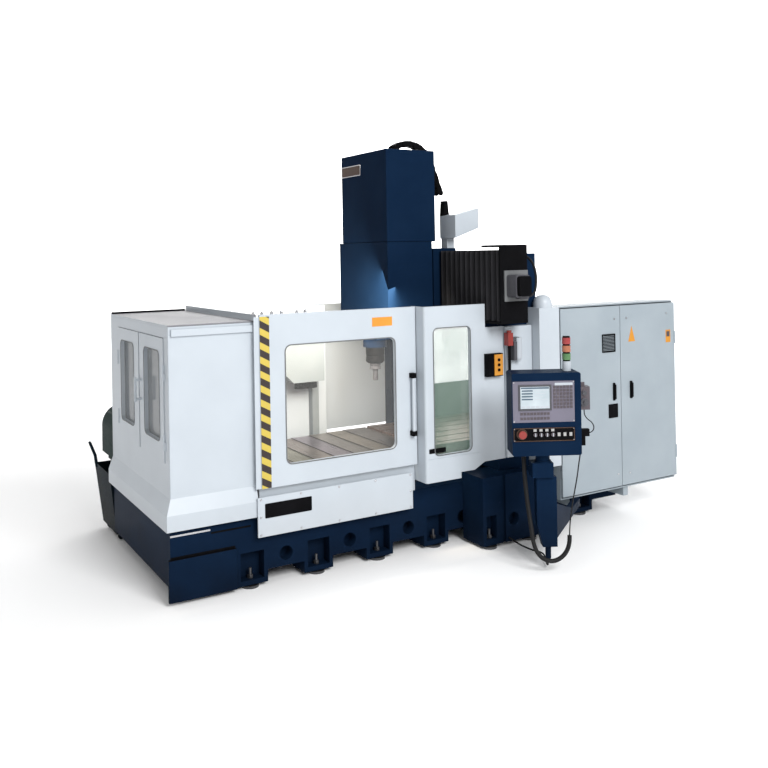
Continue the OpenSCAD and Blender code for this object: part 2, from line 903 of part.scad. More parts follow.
// The table with its T slots and four carriages on the guide rails
module table() {
  slot_pitch = 2 * table_half_w / slot_count;
  carriage_l = 200;
  carriage_x = 150;
  lift = 8;
  color([0.6, 0.6, 0.62]) placed() difference() {
    union() {
      block([table_x0, axis_y - table_half_w, table_z0],
        [table_x0 + table_l, axis_y + table_half_w, table_z]);
      for (s = [-1, 1], x = [carriage_x, table_l - carriage_x - carriage_l])
        translate([table_x0 + x, axis_y + s * guide_offset - way_w / 2, rail_z + lift])
          cube([carriage_l, way_w, table_z0 - rail_z - lift + edge]);
    }
    for (i = [0:slot_count - 1])
      translate([table_x0 - edge, axis_y - table_half_w + (i + 0.5) * slot_pitch,
        table_z - slot_t]) {
        translate([0, -slot_w / 2, 0]) cube([table_l + 2 * edge, slot_w, slot_t + edge]);
        translate([0, -slot_foot_w / 2, 0])
          cube([table_l + 2 * edge, slot_foot_w, slot_foot_h]);
      }
    for (s = [-1, 1])
      block([table_x0 - edge, axis_y + s * guide_offset - rail_w / 2 - gap, rail_z],
        [table_x0 + table_l + edge, axis_y + s * guide_offset + rail_w / 2 + gap,
        rail_z + rail_h + gap]);
  }
}

// One telescopic plate, a flat sheet with a skirt on each side
module cover_plate(x, level) {
  top = plate_top + level * plate_step;
  half = cover_half_w - 44 + level * plate_step;
  inner = half - plate_t;
  translate([x, axis_y, 0]) rotate([90, 0, 90]) linear_extrude(plate_l)
    polygon([[-half, rail_z], [-half, top], [half, top], [half, rail_z], [inner, rail_z],
      [inner, top - plate_t], [-inner, top - plate_t], [-inner, rail_z]]);
}

module way_cover_left() {
  pitch = (table_x0 - cover_x0 - plate_l - gap) / (plate_count - 1);
  color([0.55, 0.5, 0.46]) placed()
    for (k = [0:plate_count - 1]) cover_plate(cover_x0 + k * pitch, k);
}

module way_cover_right() {
  pitch = (closed_cover_l - plate_l - gap) / (plate_count - 1);
  color([0.55, 0.5, 0.46]) placed()
    for (k = [0:plate_count - 1]) cover_plate(cover_x1 - plate_l - k * pitch, k);
}

// The saddle that rides on the beam and carries the head's two upright rails
module saddle() {
  color(navy) placed() {
    difference() {
      block([saddle_x0, head_y0 + saddle_inset, saddle_z0],
        [beam_x0 - 5, head_y0 + head_w - saddle_inset, saddle_z1]);
      for (z = [column_h + beam_rail_inset, beam_z1 - beam_rail_inset])
        block([beam_x0 - rail_h - gap, head_y0, z - rail_w / 2 - gap],
          [beam_x0, head_y0 + head_w, z + rail_w / 2 + gap]);
    }
    for (s = [-1, 1])
      translate([saddle_x0 - saddle_rail_h, axis_y + s * head_rail_y - saddle_rail_w / 2, saddle_z0])
        cube([saddle_rail_h, saddle_rail_w, saddle_z1 - saddle_z0]);
  }
}

// The head's lower body, its carriages and the housing round the spindle
module head_body() {
  step = 180;
  sleeve_h = 80;
  back_x = head_x0 + head_t - 30;
  color(navy) placed() {
    block([head_x0, head_y0, body_z0 + step], [back_x, head_y0 + head_w + 60, body_z0 + body_h]);
    for (s = [-1, 1])
      block([back_x, axis_y + s * head_rail_y - carriage_w / 2, body_z0 + step + 50],
        [saddle_x0 - saddle_rail_h - gap, axis_y + s * head_rail_y + carriage_w / 2,
        body_z0 + step + 550]);
    block([spindle_x - 100, spindle_y - 200, body_z0],
      [spindle_x + 260, spindle_y + 200, body_z0 + step]);
    translate([spindle_x, spindle_y, body_z0 - sleeve_h]) difference() {
      cylinder(h = sleeve_h, d = bore_d + 100);
      translate([0, 0, -edge]) cylinder(h = 60, d = bore_d + 0.2);
    }
  }
}

// The upper cover, with a shallow seam round it above the lower body
module head_cover() {
  z0 = body_z0 + body_h;
  x1 = head_x0 + head_t + 10;
  seam = 4;
  color(navy) placed() {
    block([head_x0, head_y0, z0 + seam], [x1, head_y0 + head_w, head_top]);
    block([head_x0 + seam, head_y0 + seam, z0], [x1 - seam, head_y0 + head_w - seam, z0 + seam + edge]);
  }
}

// The chain's joints lie on an arch and then on a straight leg that leans back
arch_step = (chain_start - chain_lean) / arch_links;
link_pitch = 2 * chain_r * sin(arch_step / 2);
function joint(i) = i <= arch_links
  ? chain_r * [cos(chain_start - i * arch_step), sin(chain_start - i * arch_step)]
  : chain_r * [cos(chain_lean), sin(chain_lean)]
    + (i - arch_links) * link_pitch * [sin(chain_lean), -cos(chain_lean)];

// One link, with a plate on each side, a bar across its top and its bottom, and a pin
module chain_link(i) {
  plate = 7;
  pin_d = 16;
  side_in = i % 2 == 0 ? 0 : plate;
  lead = joint(i + 1) - joint(i);
  for (y = [side_in, link_w - side_in - plate])
    upright(y, y + plate)
      hull() for (p = [joint(i), joint(i + 1)]) translate(p) circle(link_h / 2, $fn = 24);
  upright(plate, link_w - plate)
    translate(joint(i) + lead / 2) rotate(atan2(lead[1], lead[0]))
      for (s = [-1, 1])
        translate([-13, s * (link_h / 2 - 4) - 4]) square([26, 8]);
  for (y = [-2, link_w - 2 * plate])
    upright(y, y + 2 * plate + 2) translate(joint(i)) circle(d = pin_d, $fn = 20);
}

// The drag chain arches from a seat on the head's top and hangs down behind the head
module drag_chain() {
  top = chain_z - head_top;
  seat = joint(0);
  color([0.12, 0.09, 0.08]) placed() {
    translate([chain_x, chain_y0, chain_z])
      for (i = [0:arch_links + leg_links - 1]) chain_link(i);
    translate([chain_x + seat[0] - 30, chain_y0 - 12, head_top])
      cube([60, link_w + 24, 12]);
    for (y = [-7, link_w])
      translate([chain_x + seat[0] - 18, chain_y0 + y, head_top])
        cube([36, 7, seat[1] + top + 14]);
  }
}

// The sloping cable duct on the saddle, with its foot and the chain's end bracket
module cable_duct() {
  x1 = duct_x0 + 265;
  bracket_y0 = duct_y1 - 70;
  color(white) placed() {
    upright(duct_y0, duct_y1)
      polygon([[duct_x0, duct_z0], [x1, duct_z0 + 91], [x1, duct_z0 + 277],
        [duct_x0, duct_z0 + 210]]);
    block([duct_x0 + 10, bracket_y0 - 30, saddle_z1], [duct_x0 + 90, duct_y1 - 5, duct_z0 + 50]);
    upright(bracket_y0, duct_y1)
      polygon([[duct_x0, duct_z0 + 205], [duct_x0 + 10, duct_z0 + 350],
        [duct_x0 + 46, duct_z0 + 350], [duct_x0 + 60, duct_z0 + 215]]);
  }
}

// The spindle's turned nose, its shaft in the head, the tool holder and the tool
module spindle() {
  shaft_h = 58;
  nose_r = nose_d / 2;
  flange_r = 50;
  shank_r = tool_d / 2;
  rim = 0.5;
  color(steel) placed() translate([spindle_x, spindle_y, body_z0 - nose_l])
    rotate_extrude()
      polygon([[0, -tool_l], [shank_r - 4, -tool_l], [shank_r, 4 - tool_l], [shank_r, -62],
        [flange_r - 12, -54], [flange_r, -54], [flange_r, -36], [flange_r - 7, -31],
        [flange_r - 7, -25], [flange_r, -20], [flange_r, -2], [flange_r + 8, -2],
        [flange_r + 8, 0], [nose_r - 18, 0], [nose_r, 18], [nose_r, 60], [nose_r - 4, 64],
        [nose_r - 4, 76], [nose_r, 80], [nose_r, nose_l - 80 - rim],
        [bore_d / 2, nose_l - 80 - rim], [bore_d / 2, nose_l - 80 + shaft_h],
        [0, nose_l - 80 + shaft_h]]);
}

// The tool changer's hood with a chamfered corner, on a post behind the table
module tool_changer() {
  chamfer = 80;
  y0 = changer_y1 - changer_t;
  color([0.75, 0.77, 0.79]) placed() {
    upright(y0, changer_y1)
      polygon([[changer_x0 + chamfer, changer_z0], [changer_x1, changer_z0],
        [changer_x1, changer_z1], [changer_x0, changer_z1], [changer_x0, changer_z0 + chamfer]]);
    block([changer_x1 - 10, changer_y1 - 80, bed_h + 0.5],
      [changer_x1 + 60, changer_y1, changer_z0 + edge]);
  }
}

// The double gripper that hangs below the hood
module tool_changer_arm() {
  x = changer_x1 - 120;
  y = changer_y1 - changer_t / 2;
  reach = 150;
  grip_r = 40;
  z = changer_z0 - 80;
  color(black) placed() difference() {
    union() {
      translate([x, y, z]) cylinder(h = 79.7, d = 90);
      hull()
        for (s = [-1, 1]) translate([x + s * reach / 2, y, z]) cylinder(h = 36, r = grip_r, $fn = 32);
      for (s = [-1, 1]) translate([x + s * reach / 2, y, z]) cylinder(h = 50, r = grip_r);
    }
    for (s = [-1, 1])
      translate([x + s * (reach / 2 + 14), y, z - edge]) cylinder(h = 60, d = 44);
  }
}

// The conveyor along the rear, with its rising part, its round head and its chute
module chip_conveyor() {
  head_x = 40;
  head_l = 380;
  head_z = 700;
  trough_z0 = 60;
  trough_z1 = 330;
  top_z = 1130;
  color([0.1, 0.2, 0.17]) placed() {
    block([foot_x0, conveyor_y0, trough_z0], [base_x0 - 31, conveyor_y1, trough_z1]);
    upright(conveyor_y0, conveyor_y1) {
      hull() {
        translate([head_x, head_z]) square([head_l, 10]);
        translate([head_x + head_l / 2, top_z - head_l / 2]) circle(head_l / 2);
      }
      polygon([[700, trough_z1], [900, trough_z1], [head_x + head_l, 1000],
        [head_x + head_l, head_z + 30]]);
    }
    block([head_x + 40, conveyor_y0 + 60, 640], [head_x + 340, conveyor_y1 - 60, head_z + edge]);
    for (x = [700, 2350])
      block([x, conveyor_y0 + 40, 0], [x + 80, conveyor_y1 - 40, trough_z0]);
    block([1000, bed_y1, 150], [1100, conveyor_y0, 250]);
  }
}

// A tapered box hollow, from corners at the bottom to corners at the rim
module taper(x0, y0, x1, y1, z0, z1, spread) {
  hull() {
    block([x0 + spread, y0 + 30, z0], [x1 - spread / 2, y1 - 40, z0 + 2]);
    block([x0, y0, z1 - 2], [x1, y1, z1]);
  }
}

// A round bar between two points, with round ends so that bars join at a bend
module rod(a, b, r) {
  d = b - a;
  translate(a) rotate([0, atan2(norm([d[0], d[1]]), d[2]), atan2(d[1], d[0])])
    cylinder(h = norm(d), r = r, $fn = 16);
  for (p = [a, b]) translate(p) sphere(r, $fn = 16);
}

// The open chip bin on four wheels, with its bent push handle
module chip_bin() {
  rim_z = 600;
  sheet = 6;
  y0 = conveyor_y0 + 10;
  handle_y = [bin_x0 + conveyor_y1 - 20, conveyor_y1 - 75];
  handle_z = 800;
  x = bin_x0 - handle_reach;
  color([0.09, 0.15, 0.2]) placed() {
    difference() {
      taper(bin_x0, y0, bin_x1, conveyor_y1, trolley_z, rim_z, 60);
      taper(bin_x0 + sheet, y0 + sheet, bin_x1 - sheet, conveyor_y1 - sheet, trolley_z + sheet,
        rim_z + edge, 60);
    }
    for (y = handle_y) {
      rod([bin_x0 + 4, y, rim_z - 20], [bin_x0 - 10, y, handle_z - 120], handle_r);
      rod([bin_x0 - 10, y, handle_z - 120], [x, y, handle_z], handle_r);
    }
    rod([x, handle_y[0], handle_z], [x, handle_y[1], handle_z], handle_r);
    for (wx = [bin_x0 + 110, bin_x1 - 80], wy = [y0 + 80, conveyor_y1 - 90])
      translate([wx, wy, 0]) {
        translate([0, 12, 25]) rotate([90, 0, 0]) cylinder(h = 24, r = 25, $fn = 32);
        translate([0, 0, 30]) cylinder(h = trolley_z - 29, d = 30, $fn = 24);
      }
  }
}

// Children placed in the pendant's own frame, which turns on the post
module on_pendant() {
  translate([post_x, post_y, 0]) rotate([0, 0, pendant_turn]) children();
}

// The post hangs on an arm from the cabinet and carries the swivel's bearing
module pendant_post() {
  x0 = -60;
  x1 = x0 + post_w;
  slant = 44;
  arm = arm_to - arm_from;
  length = norm(arm);
  flat_l = 330;
  color(navy) placed() {
    on_pendant() {
      upright(-post_t / 2, post_t / 2)
        polygon([[x0 + slant, post_z0], [x1, post_z0], [x1, post_z1 + edge], [x0, post_z1 + edge],
          [x0, post_z0 + 185]]);
      block([-95, -70, post_z1], [70, 70, swivel_z - 10]);
      translate([0, 0, swivel_z - 10 - edge]) cylinder(h = 10 + edge, d = 130);
      translate([x0 + 93, 0, gland_z]) cylinder(h = post_z0 - gland_z + edge, d = 45);
    }
    translate(arm_from) rotate([0, 0, atan2(arm[1], arm[0])])
      upright(-30, 30)
        polygon([[0, 200], [length, cab_z0 - 70], [length, cab_z0 - 4],
          [length - flat_l, cab_z0 - 4], [0, 520]]);
    block([leg_x - 20, cab_y0 + 40, cab_z0 - 86], [leg_x + leg_w + 20, cab_y0 + 60, cab_z0 - 2]);
  }
}

// The pendant's housing, with a recess for its face and one for its switches
module pendant_box() {
  front = -pendant_t / 2;
  face_x1 = pendant_x1 - bar_w + 5;
  color(navy) placed() on_pendant() {
    difference() {
      upright(-pendant_t / 2, pendant_t / 2)
        translate([pendant_x0, pendant_z0]) round_rect(pendant_w, pendant_h, 16);
      block([face_x0, front - edge, face_z0], [face_x1, front + recess, face_z1]);
      block([face_x0, front - edge, strip_z0], [face_x1, front + recess, strip_z1]);
    }
    translate([0, 0, swivel_z + gap]) cylinder(h = pendant_z0 - swivel_z, d = 110);
  }
}

// The face with its screen, key rows, switches and stop button
module pendant_panel() {
  front = recess - pendant_t / 2;
  sheet = 5;
  face_x1 = pendant_x1 - bar_w + 5;
  screen_x = face_x0 + 58;
  screen_z = face_z0 + 106;
  key_pitch = 1.3 * key_w;
  bezel = 14;
  color([0.6, 0.58, 0.66]) placed() on_pendant() {
    difference() {
      union() {
        block([face_x0 + gap, front - sheet, face_z0 + gap], [face_x1 - gap, front, face_z1 - gap]);
        block([screen_x - bezel, front - sheet - 5, screen_z - bezel],
          [screen_x + screen_w + bezel, front - sheet + edge, screen_z + screen_h + bezel]);
      }
      block([screen_x, front - sheet - 5 - edge, screen_z],
        [screen_x + screen_w, front - sheet - 2, screen_z + screen_h]);
    }
    block([face_x0 + gap, front - sheet, strip_z0 + gap], [face_x1 - gap, front, strip_z1 - gap]);
    for (i = [0:5], j = [0:6])
      translate([screen_x + screen_w + 2 * bezel + i * key_pitch, front - sheet - 4,
        screen_z + j * key_pitch])
        cube([key_w, 5, key_w]);
    for (i = [0:8], z = [face_z0 + 22, face_z0 + 58])
      translate([screen_x + i * key_pitch, front - sheet - 4, z]) cube([key_w, 5, key_w]);
    for (i = [0:3])
      translate([face_x0 + 170 + 46 * i, front - sheet + edge, strip_z0 + 55])
        rotate([90, 0, 0]) cylinder(h = 18, d = 30, $fn = 24);
    translate([face_x0 + 68, front - sheet + edge, strip_z0 + 60]) rotate([90, 0, 0]) {
      cylinder(h = 22, d = stop_d / 2);
      translate([0, 0, 20]) cylinder(h = 16, d = stop_d);
    }
  }
}

// Three lamps one above the other, with narrow rings between them
module stack_light() {
  base_l = 76;
  lens_l = 50;
  pitch = 62;
  color([0.8, 0.3, 0.2]) placed() on_pendant() translate([203, 0, pendant_z1]) {
    cylinder(h = base_l, d = lamp_d);
    for (i = [0:2]) translate([0, 0, base_l + 10 + i * pitch]) cylinder(h = lens_l, d = lamp_d);
    cylinder(h = base_l + 10 + 3 * pitch, d = lamp_d - 10);
  }
}

// The hand unit hung at the pendant's side, its dials, its hook and its plug holder
module handwheel() {
  x0 = pendant_x1;
  half = 45;
  dial_x = x0 + wheel_w / 2;
  color([0.15, 0.15, 0.16]) placed() on_pendant() {
    block([x0, -half, unit_z0], [x0 + wheel_w, half, unit_z1]);
    translate([dial_x, 1 - half, unit_z0 + 60]) rotate([90, 0, 0]) cylinder(h = 15, d = 64);
    translate([dial_x, -13 - half, unit_z0 + 60]) rotate([90, 0, 0]) cylinder(h = 16, d = 24);
    translate([dial_x, 1 - half, unit_z0 + 132]) rotate([90, 0, 0]) cylinder(h = 15, d = 38);
    upright(-12, 12)
      polygon([[x0, unit_z1 - edge], [x0, unit_z1 + 76], [x0 + 20, unit_z1 + 76],
        [x0 + 20, unit_z1 + 30], [dial_x + 12, unit_z1 + 30], [dial_x + 12, unit_z1 - edge]]);
    block([x0, -50, 975], [x0 + 46, -10, 1045]);
    block([x0, -40, 1044], [x0 + 82, 0, 1100]);
  }
}

// A round tube swept along a list of points, with ring_sides corners
ring_sides = 8;
function unit(v) = v / norm(v);
function along(path, i) =
  unit(path[min(i + 1, len(path) - 1)] - path[max(i - 1, 0)]);
function across(d) = unit(cross(d, [0.31, 0.95, 0.05]));
function ring(c, d, r) = [for (k = [0:ring_sides - 1])
  let (u = across(d), v = cross(d, u), a = 360 * k / ring_sides)
  c + r * cos(a) * u + r * sin(a) * v];
module tube(path, d) {
  n = len(path);
  points = [for (i = [0:n - 1]) each ring(path[i], along(path, i), d / 2)];
  sides = [for (i = [0:n - 2], k = [0:ring_sides - 1])
    let (a = i * ring_sides + k, b = i * ring_sides + (k + 1) % ring_sides)
    each [[a, b + ring_sides, b], [a, a + ring_sides, b + ring_sides]]];
  first = [[for (k = [0:ring_sides - 1]) k]];
  last = [[for (k = [ring_sides - 1:-1:0]) (n - 1) * ring_sides + k]];
  polyhedron(points, concat(sides, first, last));
}

// Routes of the free cords, whose first and last stretches are square to what they meet
motor_path = [[plug_x, plug_y, plug_z], [2950, -450, 2120], [2978, -449, 2125],
  [3004, -447, 2140], [3024, -444, 2163], [3037, -439, 2193], [3048, -431, 2228],
  [3059, -420, 2266], [3070, -403, 2306], [3079, -381, 2344], [3086, -357, 2378],
  [3088, -331, 2408], [3084, -306, 2432], [3073, -283, 2451], [3056, -266, 2466],
  [3033, -255, 2476], [3008, -250, 2480], [2990.3, -250, 2480]];
hose_path = [[-140, 40, 916], [-140, 40, 890], [-139, 36, 800], [-136, 24, 700],
  [-131, 6, 600], [-124, -18, 500], [-117, -44, 410], [-110, -68, 335], [-103, -88, 255],
  [-84, -99, 188], [-48, -104, 137], [0, -105, 108], [50, -104, 102], [98, -102, 118],
  [138, -100, 151], [165, -98, 195], [178, -95, 244], [181, -92, 292]];
cable_path = [[181, -92, 292], [184, -89, 341], [189, -86, 390], [201, -80, 470],
  [218, -72, 560], [239, -63, 650], [259, -54, 740], [275, -45, 830], [287, -38, 890],
  [295, -33, 925], [299, -31, 948], [300, -30, 962], [300, -30, 975]];
lead_path = [[331, -20, 1253], [331, -20, 1238], [333, -20, 1216], [341, -20, 1196],
  [355, -20, 1178], [372, -20, 1164], [388, -20, 1150], [400, -20, 1133], [406, -20, 1114],
  [404, -20, 1096], [396, -20, 1082], [384, -20, 1073], [374, -20, 1070], [366, -20, 1070]];
conduit_path = [[2840, -270, 60], [2840, -285, 60], [2843, -315, 54], [2850, -355, 42],
  [2860, -405, 30], [2870, -460, 23], [2877, -520, 21], [2879, -575, 24], [2873, -625, 32],
  [2861, -672, 38], [2842, -717, 38], [2815, -760, 32], [2786, -802, 24], [2762, -840, 20],
  [2748, -863.5, 24.6], [2738, -880.3, 37.6], [2731.4, -891.5, 57], [2729.1, -895.5, 80],
  [2729.1, -895.5, 90]];

module motor_cable() {
  color(rubber) placed() tube(motor_path, 22);
}

module pendant_hose() {
  color(rubber) placed() on_pendant() tube(hose_path, 34);
}

module pendant_cable() {
  color(rubber) placed() on_pendant() tube(cable_path, 10);
}

module handwheel_lead() {
  color(rubber) placed() on_pendant() tube(lead_path, 8);
}

module post_conduit() {
  color(rubber) placed() tube(conduit_path, 14);
}

bed_casting();
levelling_pads();
bed_corner_cover();
table_rails();
column_near();
column_far();
cross_beam();
beam_rails();
beam_covers();
beam_motor();
motor_cable();
bellows_near();
bellows_far();
left_front_panel();
left_end_wall();
left_roof();
rear_wall();
right_front_panel();
side_window();
right_guards();
front_sill();
door_rail();
door_hangers();
sliding_door();
sliding_door_window();
sliding_door_handle();
end_door_near();
end_door_far();
end_window_near();
end_window_far();
switch_box();
column_cover();
air_unit();
cabinet_body();
cabinet_door_left();
cabinet_door_right();
cabinet_plate();
table();
way_cover_left();
way_cover_right();
saddle();
head_body();
head_cover();
drag_chain();
cable_duct();
spindle();
tool_changer();
tool_changer_arm();
chip_conveyor();
chip_bin();
pendant_post();
pendant_box();
pendant_panel();
stack_light();
handwheel();
pendant_hose();
pendant_cable();
handwheel_lead();
post_conduit();
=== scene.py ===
import json
import math
import bmesh
import bpy
from mathutils import Matrix, Vector


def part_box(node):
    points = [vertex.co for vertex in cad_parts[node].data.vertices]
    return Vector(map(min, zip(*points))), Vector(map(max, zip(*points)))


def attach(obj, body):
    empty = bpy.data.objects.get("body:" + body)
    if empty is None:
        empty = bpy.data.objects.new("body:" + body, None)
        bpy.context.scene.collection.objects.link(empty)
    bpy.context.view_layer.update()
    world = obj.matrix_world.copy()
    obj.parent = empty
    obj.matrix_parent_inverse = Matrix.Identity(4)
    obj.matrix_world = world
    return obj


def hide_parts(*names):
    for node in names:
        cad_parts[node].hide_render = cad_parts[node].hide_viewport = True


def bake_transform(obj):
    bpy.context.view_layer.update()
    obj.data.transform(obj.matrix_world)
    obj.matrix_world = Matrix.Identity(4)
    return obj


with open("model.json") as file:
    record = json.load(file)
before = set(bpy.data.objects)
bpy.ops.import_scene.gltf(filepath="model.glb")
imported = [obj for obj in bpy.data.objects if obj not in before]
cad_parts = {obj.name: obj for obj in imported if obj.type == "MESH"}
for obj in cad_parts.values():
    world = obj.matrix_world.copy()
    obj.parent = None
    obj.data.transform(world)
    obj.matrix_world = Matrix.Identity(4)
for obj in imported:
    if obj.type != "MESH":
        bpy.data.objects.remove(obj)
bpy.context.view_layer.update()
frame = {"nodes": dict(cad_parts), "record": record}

# Places are given in millimetres from the bed's left end and the front plane of the enclosure
MM = 0.001
BED_FRONT = 20
BED_LOW, BED_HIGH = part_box("bed_casting")
ZERO = Vector((BED_LOW.x, BED_LOW.y - BED_FRONT * MM, 0))
POST = (2700, -880)
PENDANT_TURN = math.radians(-28)
AXIS_Y = 830
BED_L = 4390
WALL_TOP = 2056
DOOR_X0, DOOR_X1, DOOR_Z0, DOOR_FRONT = 680, 2065, 750, -57
BUMP_FRONT = -180
CAB_X0, CAB_X1, CAB_Y0, CAB_Z0, CAB_Z1 = 3430, 4890, -300, 284, 2000
HEAD_X0, HEAD_X1, HEAD_Y0, HEAD_Y1 = 2090, 2600, 415, 1245
HEAD_SEAM_Z, HEAD_TOP = 2600, 3420
FACE_Y = -110


def shop(x, y, z):
    """A point given in millimetres from the bed's left front corner."""
    return ZERO + Vector((x, y, z)) * MM


def on_pendant(x, y, z):
    """A point in the pendant's own frame, which turns on the post."""
    c, s = math.cos(PENDANT_TURN), math.sin(PENDANT_TURN)
    return shop(POST[0] + x * c - y * s, POST[1] + x * s + y * c, z)


def on_end(y, x, z):
    """A point on the left end, with its place along Y given first."""
    return shop(x, y, z)


# Camera
def add_camera():
    forward_turn, roll = math.radians(30.7506), math.radians(-0.9513)
    flat_right = Vector((math.cos(forward_turn), -math.sin(forward_turn), 0))
    forward = Vector((math.sin(forward_turn), math.cos(forward_turn), 0))
    upright = Vector((0, 0, 1))
    right = flat_right * math.cos(roll) + upright * math.sin(roll)
    up = upright * math.cos(roll) - flat_right * math.sin(roll)
    data = bpy.data.cameras.new("camera")
    data.sensor_width = 36
    data.sensor_fit = "HORIZONTAL"
    data.lens = 36 * 875.7 / 768
    data.shift_y = -(384 - 253.4) / 768
    camera = bpy.data.objects.new("camera", data)
    bpy.context.scene.collection.objects.link(camera)
    turn = Matrix((right, up, -forward)).transposed().to_4x4()
    camera.matrix_world = Matrix.Translation(shop(-1858, -6161.6, 2500)) @ turn
    bpy.context.scene.camera = camera


add_camera()


# Materials
def new_material(name):
    material = bpy.data.materials.new(name)
    material.use_nodes = True
    nodes = material.node_tree.nodes
    shader = nodes["Principled BSDF"]
    return material, nodes, material.node_tree.links, shader


def noise(nodes, links, scale, detail=3, stretch=(1, 1, 1)):
    """A noise texture in the object's own coordinates."""
    place = nodes.new("ShaderNodeTexCoord")
    mapping = nodes.new("ShaderNodeMapping")
    mapping.inputs["Scale"].default_value = stretch
    texture = nodes.new("ShaderNodeTexNoise")
    texture.inputs["Scale"].default_value = scale
    texture.inputs["Detail"].default_value = detail
    links.new(place.outputs["Object"], mapping.inputs["Vector"])
    links.new(mapping.outputs["Vector"], texture.inputs["Vector"])
    return texture.outputs["Fac"]


def ramp(nodes, links, value, dark, light, low=0.3, high=0.7):
    """Turns a value into a colour between dark and light."""
    node = nodes.new("ShaderNodeValToRGB")
    node.color_ramp.elements[0].position = low
    node.color_ramp.elements[0].color = (*dark, 1)
    node.color_ramp.elements[1].position = high
    node.color_ramp.elements[1].color = (*light, 1)
    links.new(value, node.inputs["Fac"])
    return node.outputs["Color"]


def bump(nodes, links, shader, value, strength, distance):
    node = nodes.new("ShaderNodeBump")
    node.inputs["Strength"].default_value = strength
    node.inputs["Distance"].default_value = distance
    links.new(value, node.inputs["Height"])
    links.new(node.outputs["Normal"], shader.inputs["Normal"])


def spread(nodes, links, value, low, high):
    node = nodes.new("ShaderNodeMapRange")
    node.inputs["To Min"].default_value = low
    node.inputs["To Max"].default_value = high
    links.new(value, node.inputs["Value"])
    return node.outputs["Result"]


def floor_tone_patches(nodes, links, color, low_z, floor_tone):
    """Shifts a colour towards a greyer tone near the floor, in noisy patches."""
    place = nodes.new("ShaderNodeTexCoord")
    split = nodes.new("ShaderNodeSeparateXYZ")
    links.new(place.outputs["Object"], split.inputs["Vector"])
    fall = nodes.new("ShaderNodeMapRange")
    fall.inputs["From Min"].default_value = low_z
    fall.inputs["From Max"].default_value = 0.0
    links.new(split.outputs["Z"], fall.inputs["Value"])
    patches = nodes.new("ShaderNodeMath")
    patches.operation = "MULTIPLY"
    links.new(fall.outputs["Result"], patches.inputs[0])
    links.new(noise(nodes, links, 4, 6), patches.inputs[1])
    mix = nodes.new("ShaderNodeMix")
    mix.data_type = "RGBA"
    mix.inputs["B"].default_value = (*floor_tone, 1)
    links.new(patches.outputs["Value"], mix.inputs["Factor"])
    links.new(color, mix.inputs["A"])
    return mix.outputs["Result"]


def surface(name, dark, light, rough=(0.3, 0.45), metal=0.0, grain=60, depth=0.0003,
            cloud=3.0, stretch=(1, 1, 1), shine=0.5, strength=0.25, floor_tone=None):
    """A finish with soft colour clouds, a fine grained bump and uneven gloss."""
    material, nodes, links, shader = new_material(name)
    clouds = noise(nodes, links, cloud, 4)
    fine = noise(nodes, links, grain, 3, stretch)
    color = ramp(nodes, links, clouds, dark, light)
    # Near the floor the colour shifts towards a greyer tone, in noisy patches.
    if floor_tone:
        color = floor_tone_patches(nodes, links, color, 0.7, floor_tone)
    links.new(color, shader.inputs["Base Color"])
    links.new(spread(nodes, links, fine, *rough), shader.inputs["Roughness"])
    shader.inputs["Metallic"].default_value = metal
    shader.inputs["Specular IOR Level"].default_value = shine
    bump(nodes, links, shader, fine, strength, depth)
    return material


def glass(name, tint, alpha, shine=0.5):
    material, nodes, links, shader = new_material(name)
    shader.inputs["Specular IOR Level"].default_value = shine
    smear = noise(nodes, links, 2.5, 4)
    links.new(spread(nodes, links, smear, 0.02, 0.12), shader.inputs["Roughness"])
    links.new(spread(nodes, links, smear, alpha * 0.8, alpha * 1.3), shader.inputs["Alpha"])
    links.new(ramp(nodes, links, smear, tint, [c * 1.05 for c in tint]),
              shader.inputs["Base Color"])
    return material


def striped(name, pitch):
    """Yellow and dark stripes that slope down to the right across X."""
    material, nodes, links, shader = new_material(name)
    place = nodes.new("ShaderNodeTexCoord")
    split = nodes.new("ShaderNodeSeparateXYZ")
    links.new(place.outputs["Object"], split.inputs["Vector"])
    total = nodes.new("ShaderNodeMath")
    total.operation = "MULTIPLY_ADD"
    total.inputs[1].default_value = 0.55
    links.new(split.outputs["X"], total.inputs[0])
    links.new(split.outputs["Z"], total.inputs[2])
    turns = nodes.new("ShaderNodeMath")
    turns.operation = "DIVIDE"
    turns.inputs[1].default_value = pitch
    links.new(total.outputs["Value"], turns.inputs[0])
    part = nodes.new("ShaderNodeMath")
    part.operation = "FRACT"
    links.new(turns.outputs["Value"], part.inputs[0])
    color = ramp(nodes, links, part.outputs["Value"], (0.52, 0.4, 0.06), (0.02, 0.011, 0.01),
                 0.47, 0.5)
    links.new(color, shader.inputs["Base Color"])
    fine = noise(nodes, links, 50)
    links.new(spread(nodes, links, fine, 0.35, 0.55), shader.inputs["Roughness"])
    bump(nodes, links, shader, fine, 0.15, 0.0003)
    return material


def glowing(name, dark, light, power):
    """A lit face with a soft uneven glow."""
    material, nodes, links, shader = new_material(name)
    color = ramp(nodes, links, noise(nodes, links, 9, 3), dark, light)
    links.new(color, shader.inputs["Base Color"])
    links.new(color, shader.inputs["Emission Color"])
    shader.inputs["Emission Strength"].default_value = power
    shader.inputs["Roughness"].default_value = 0.2
    return material
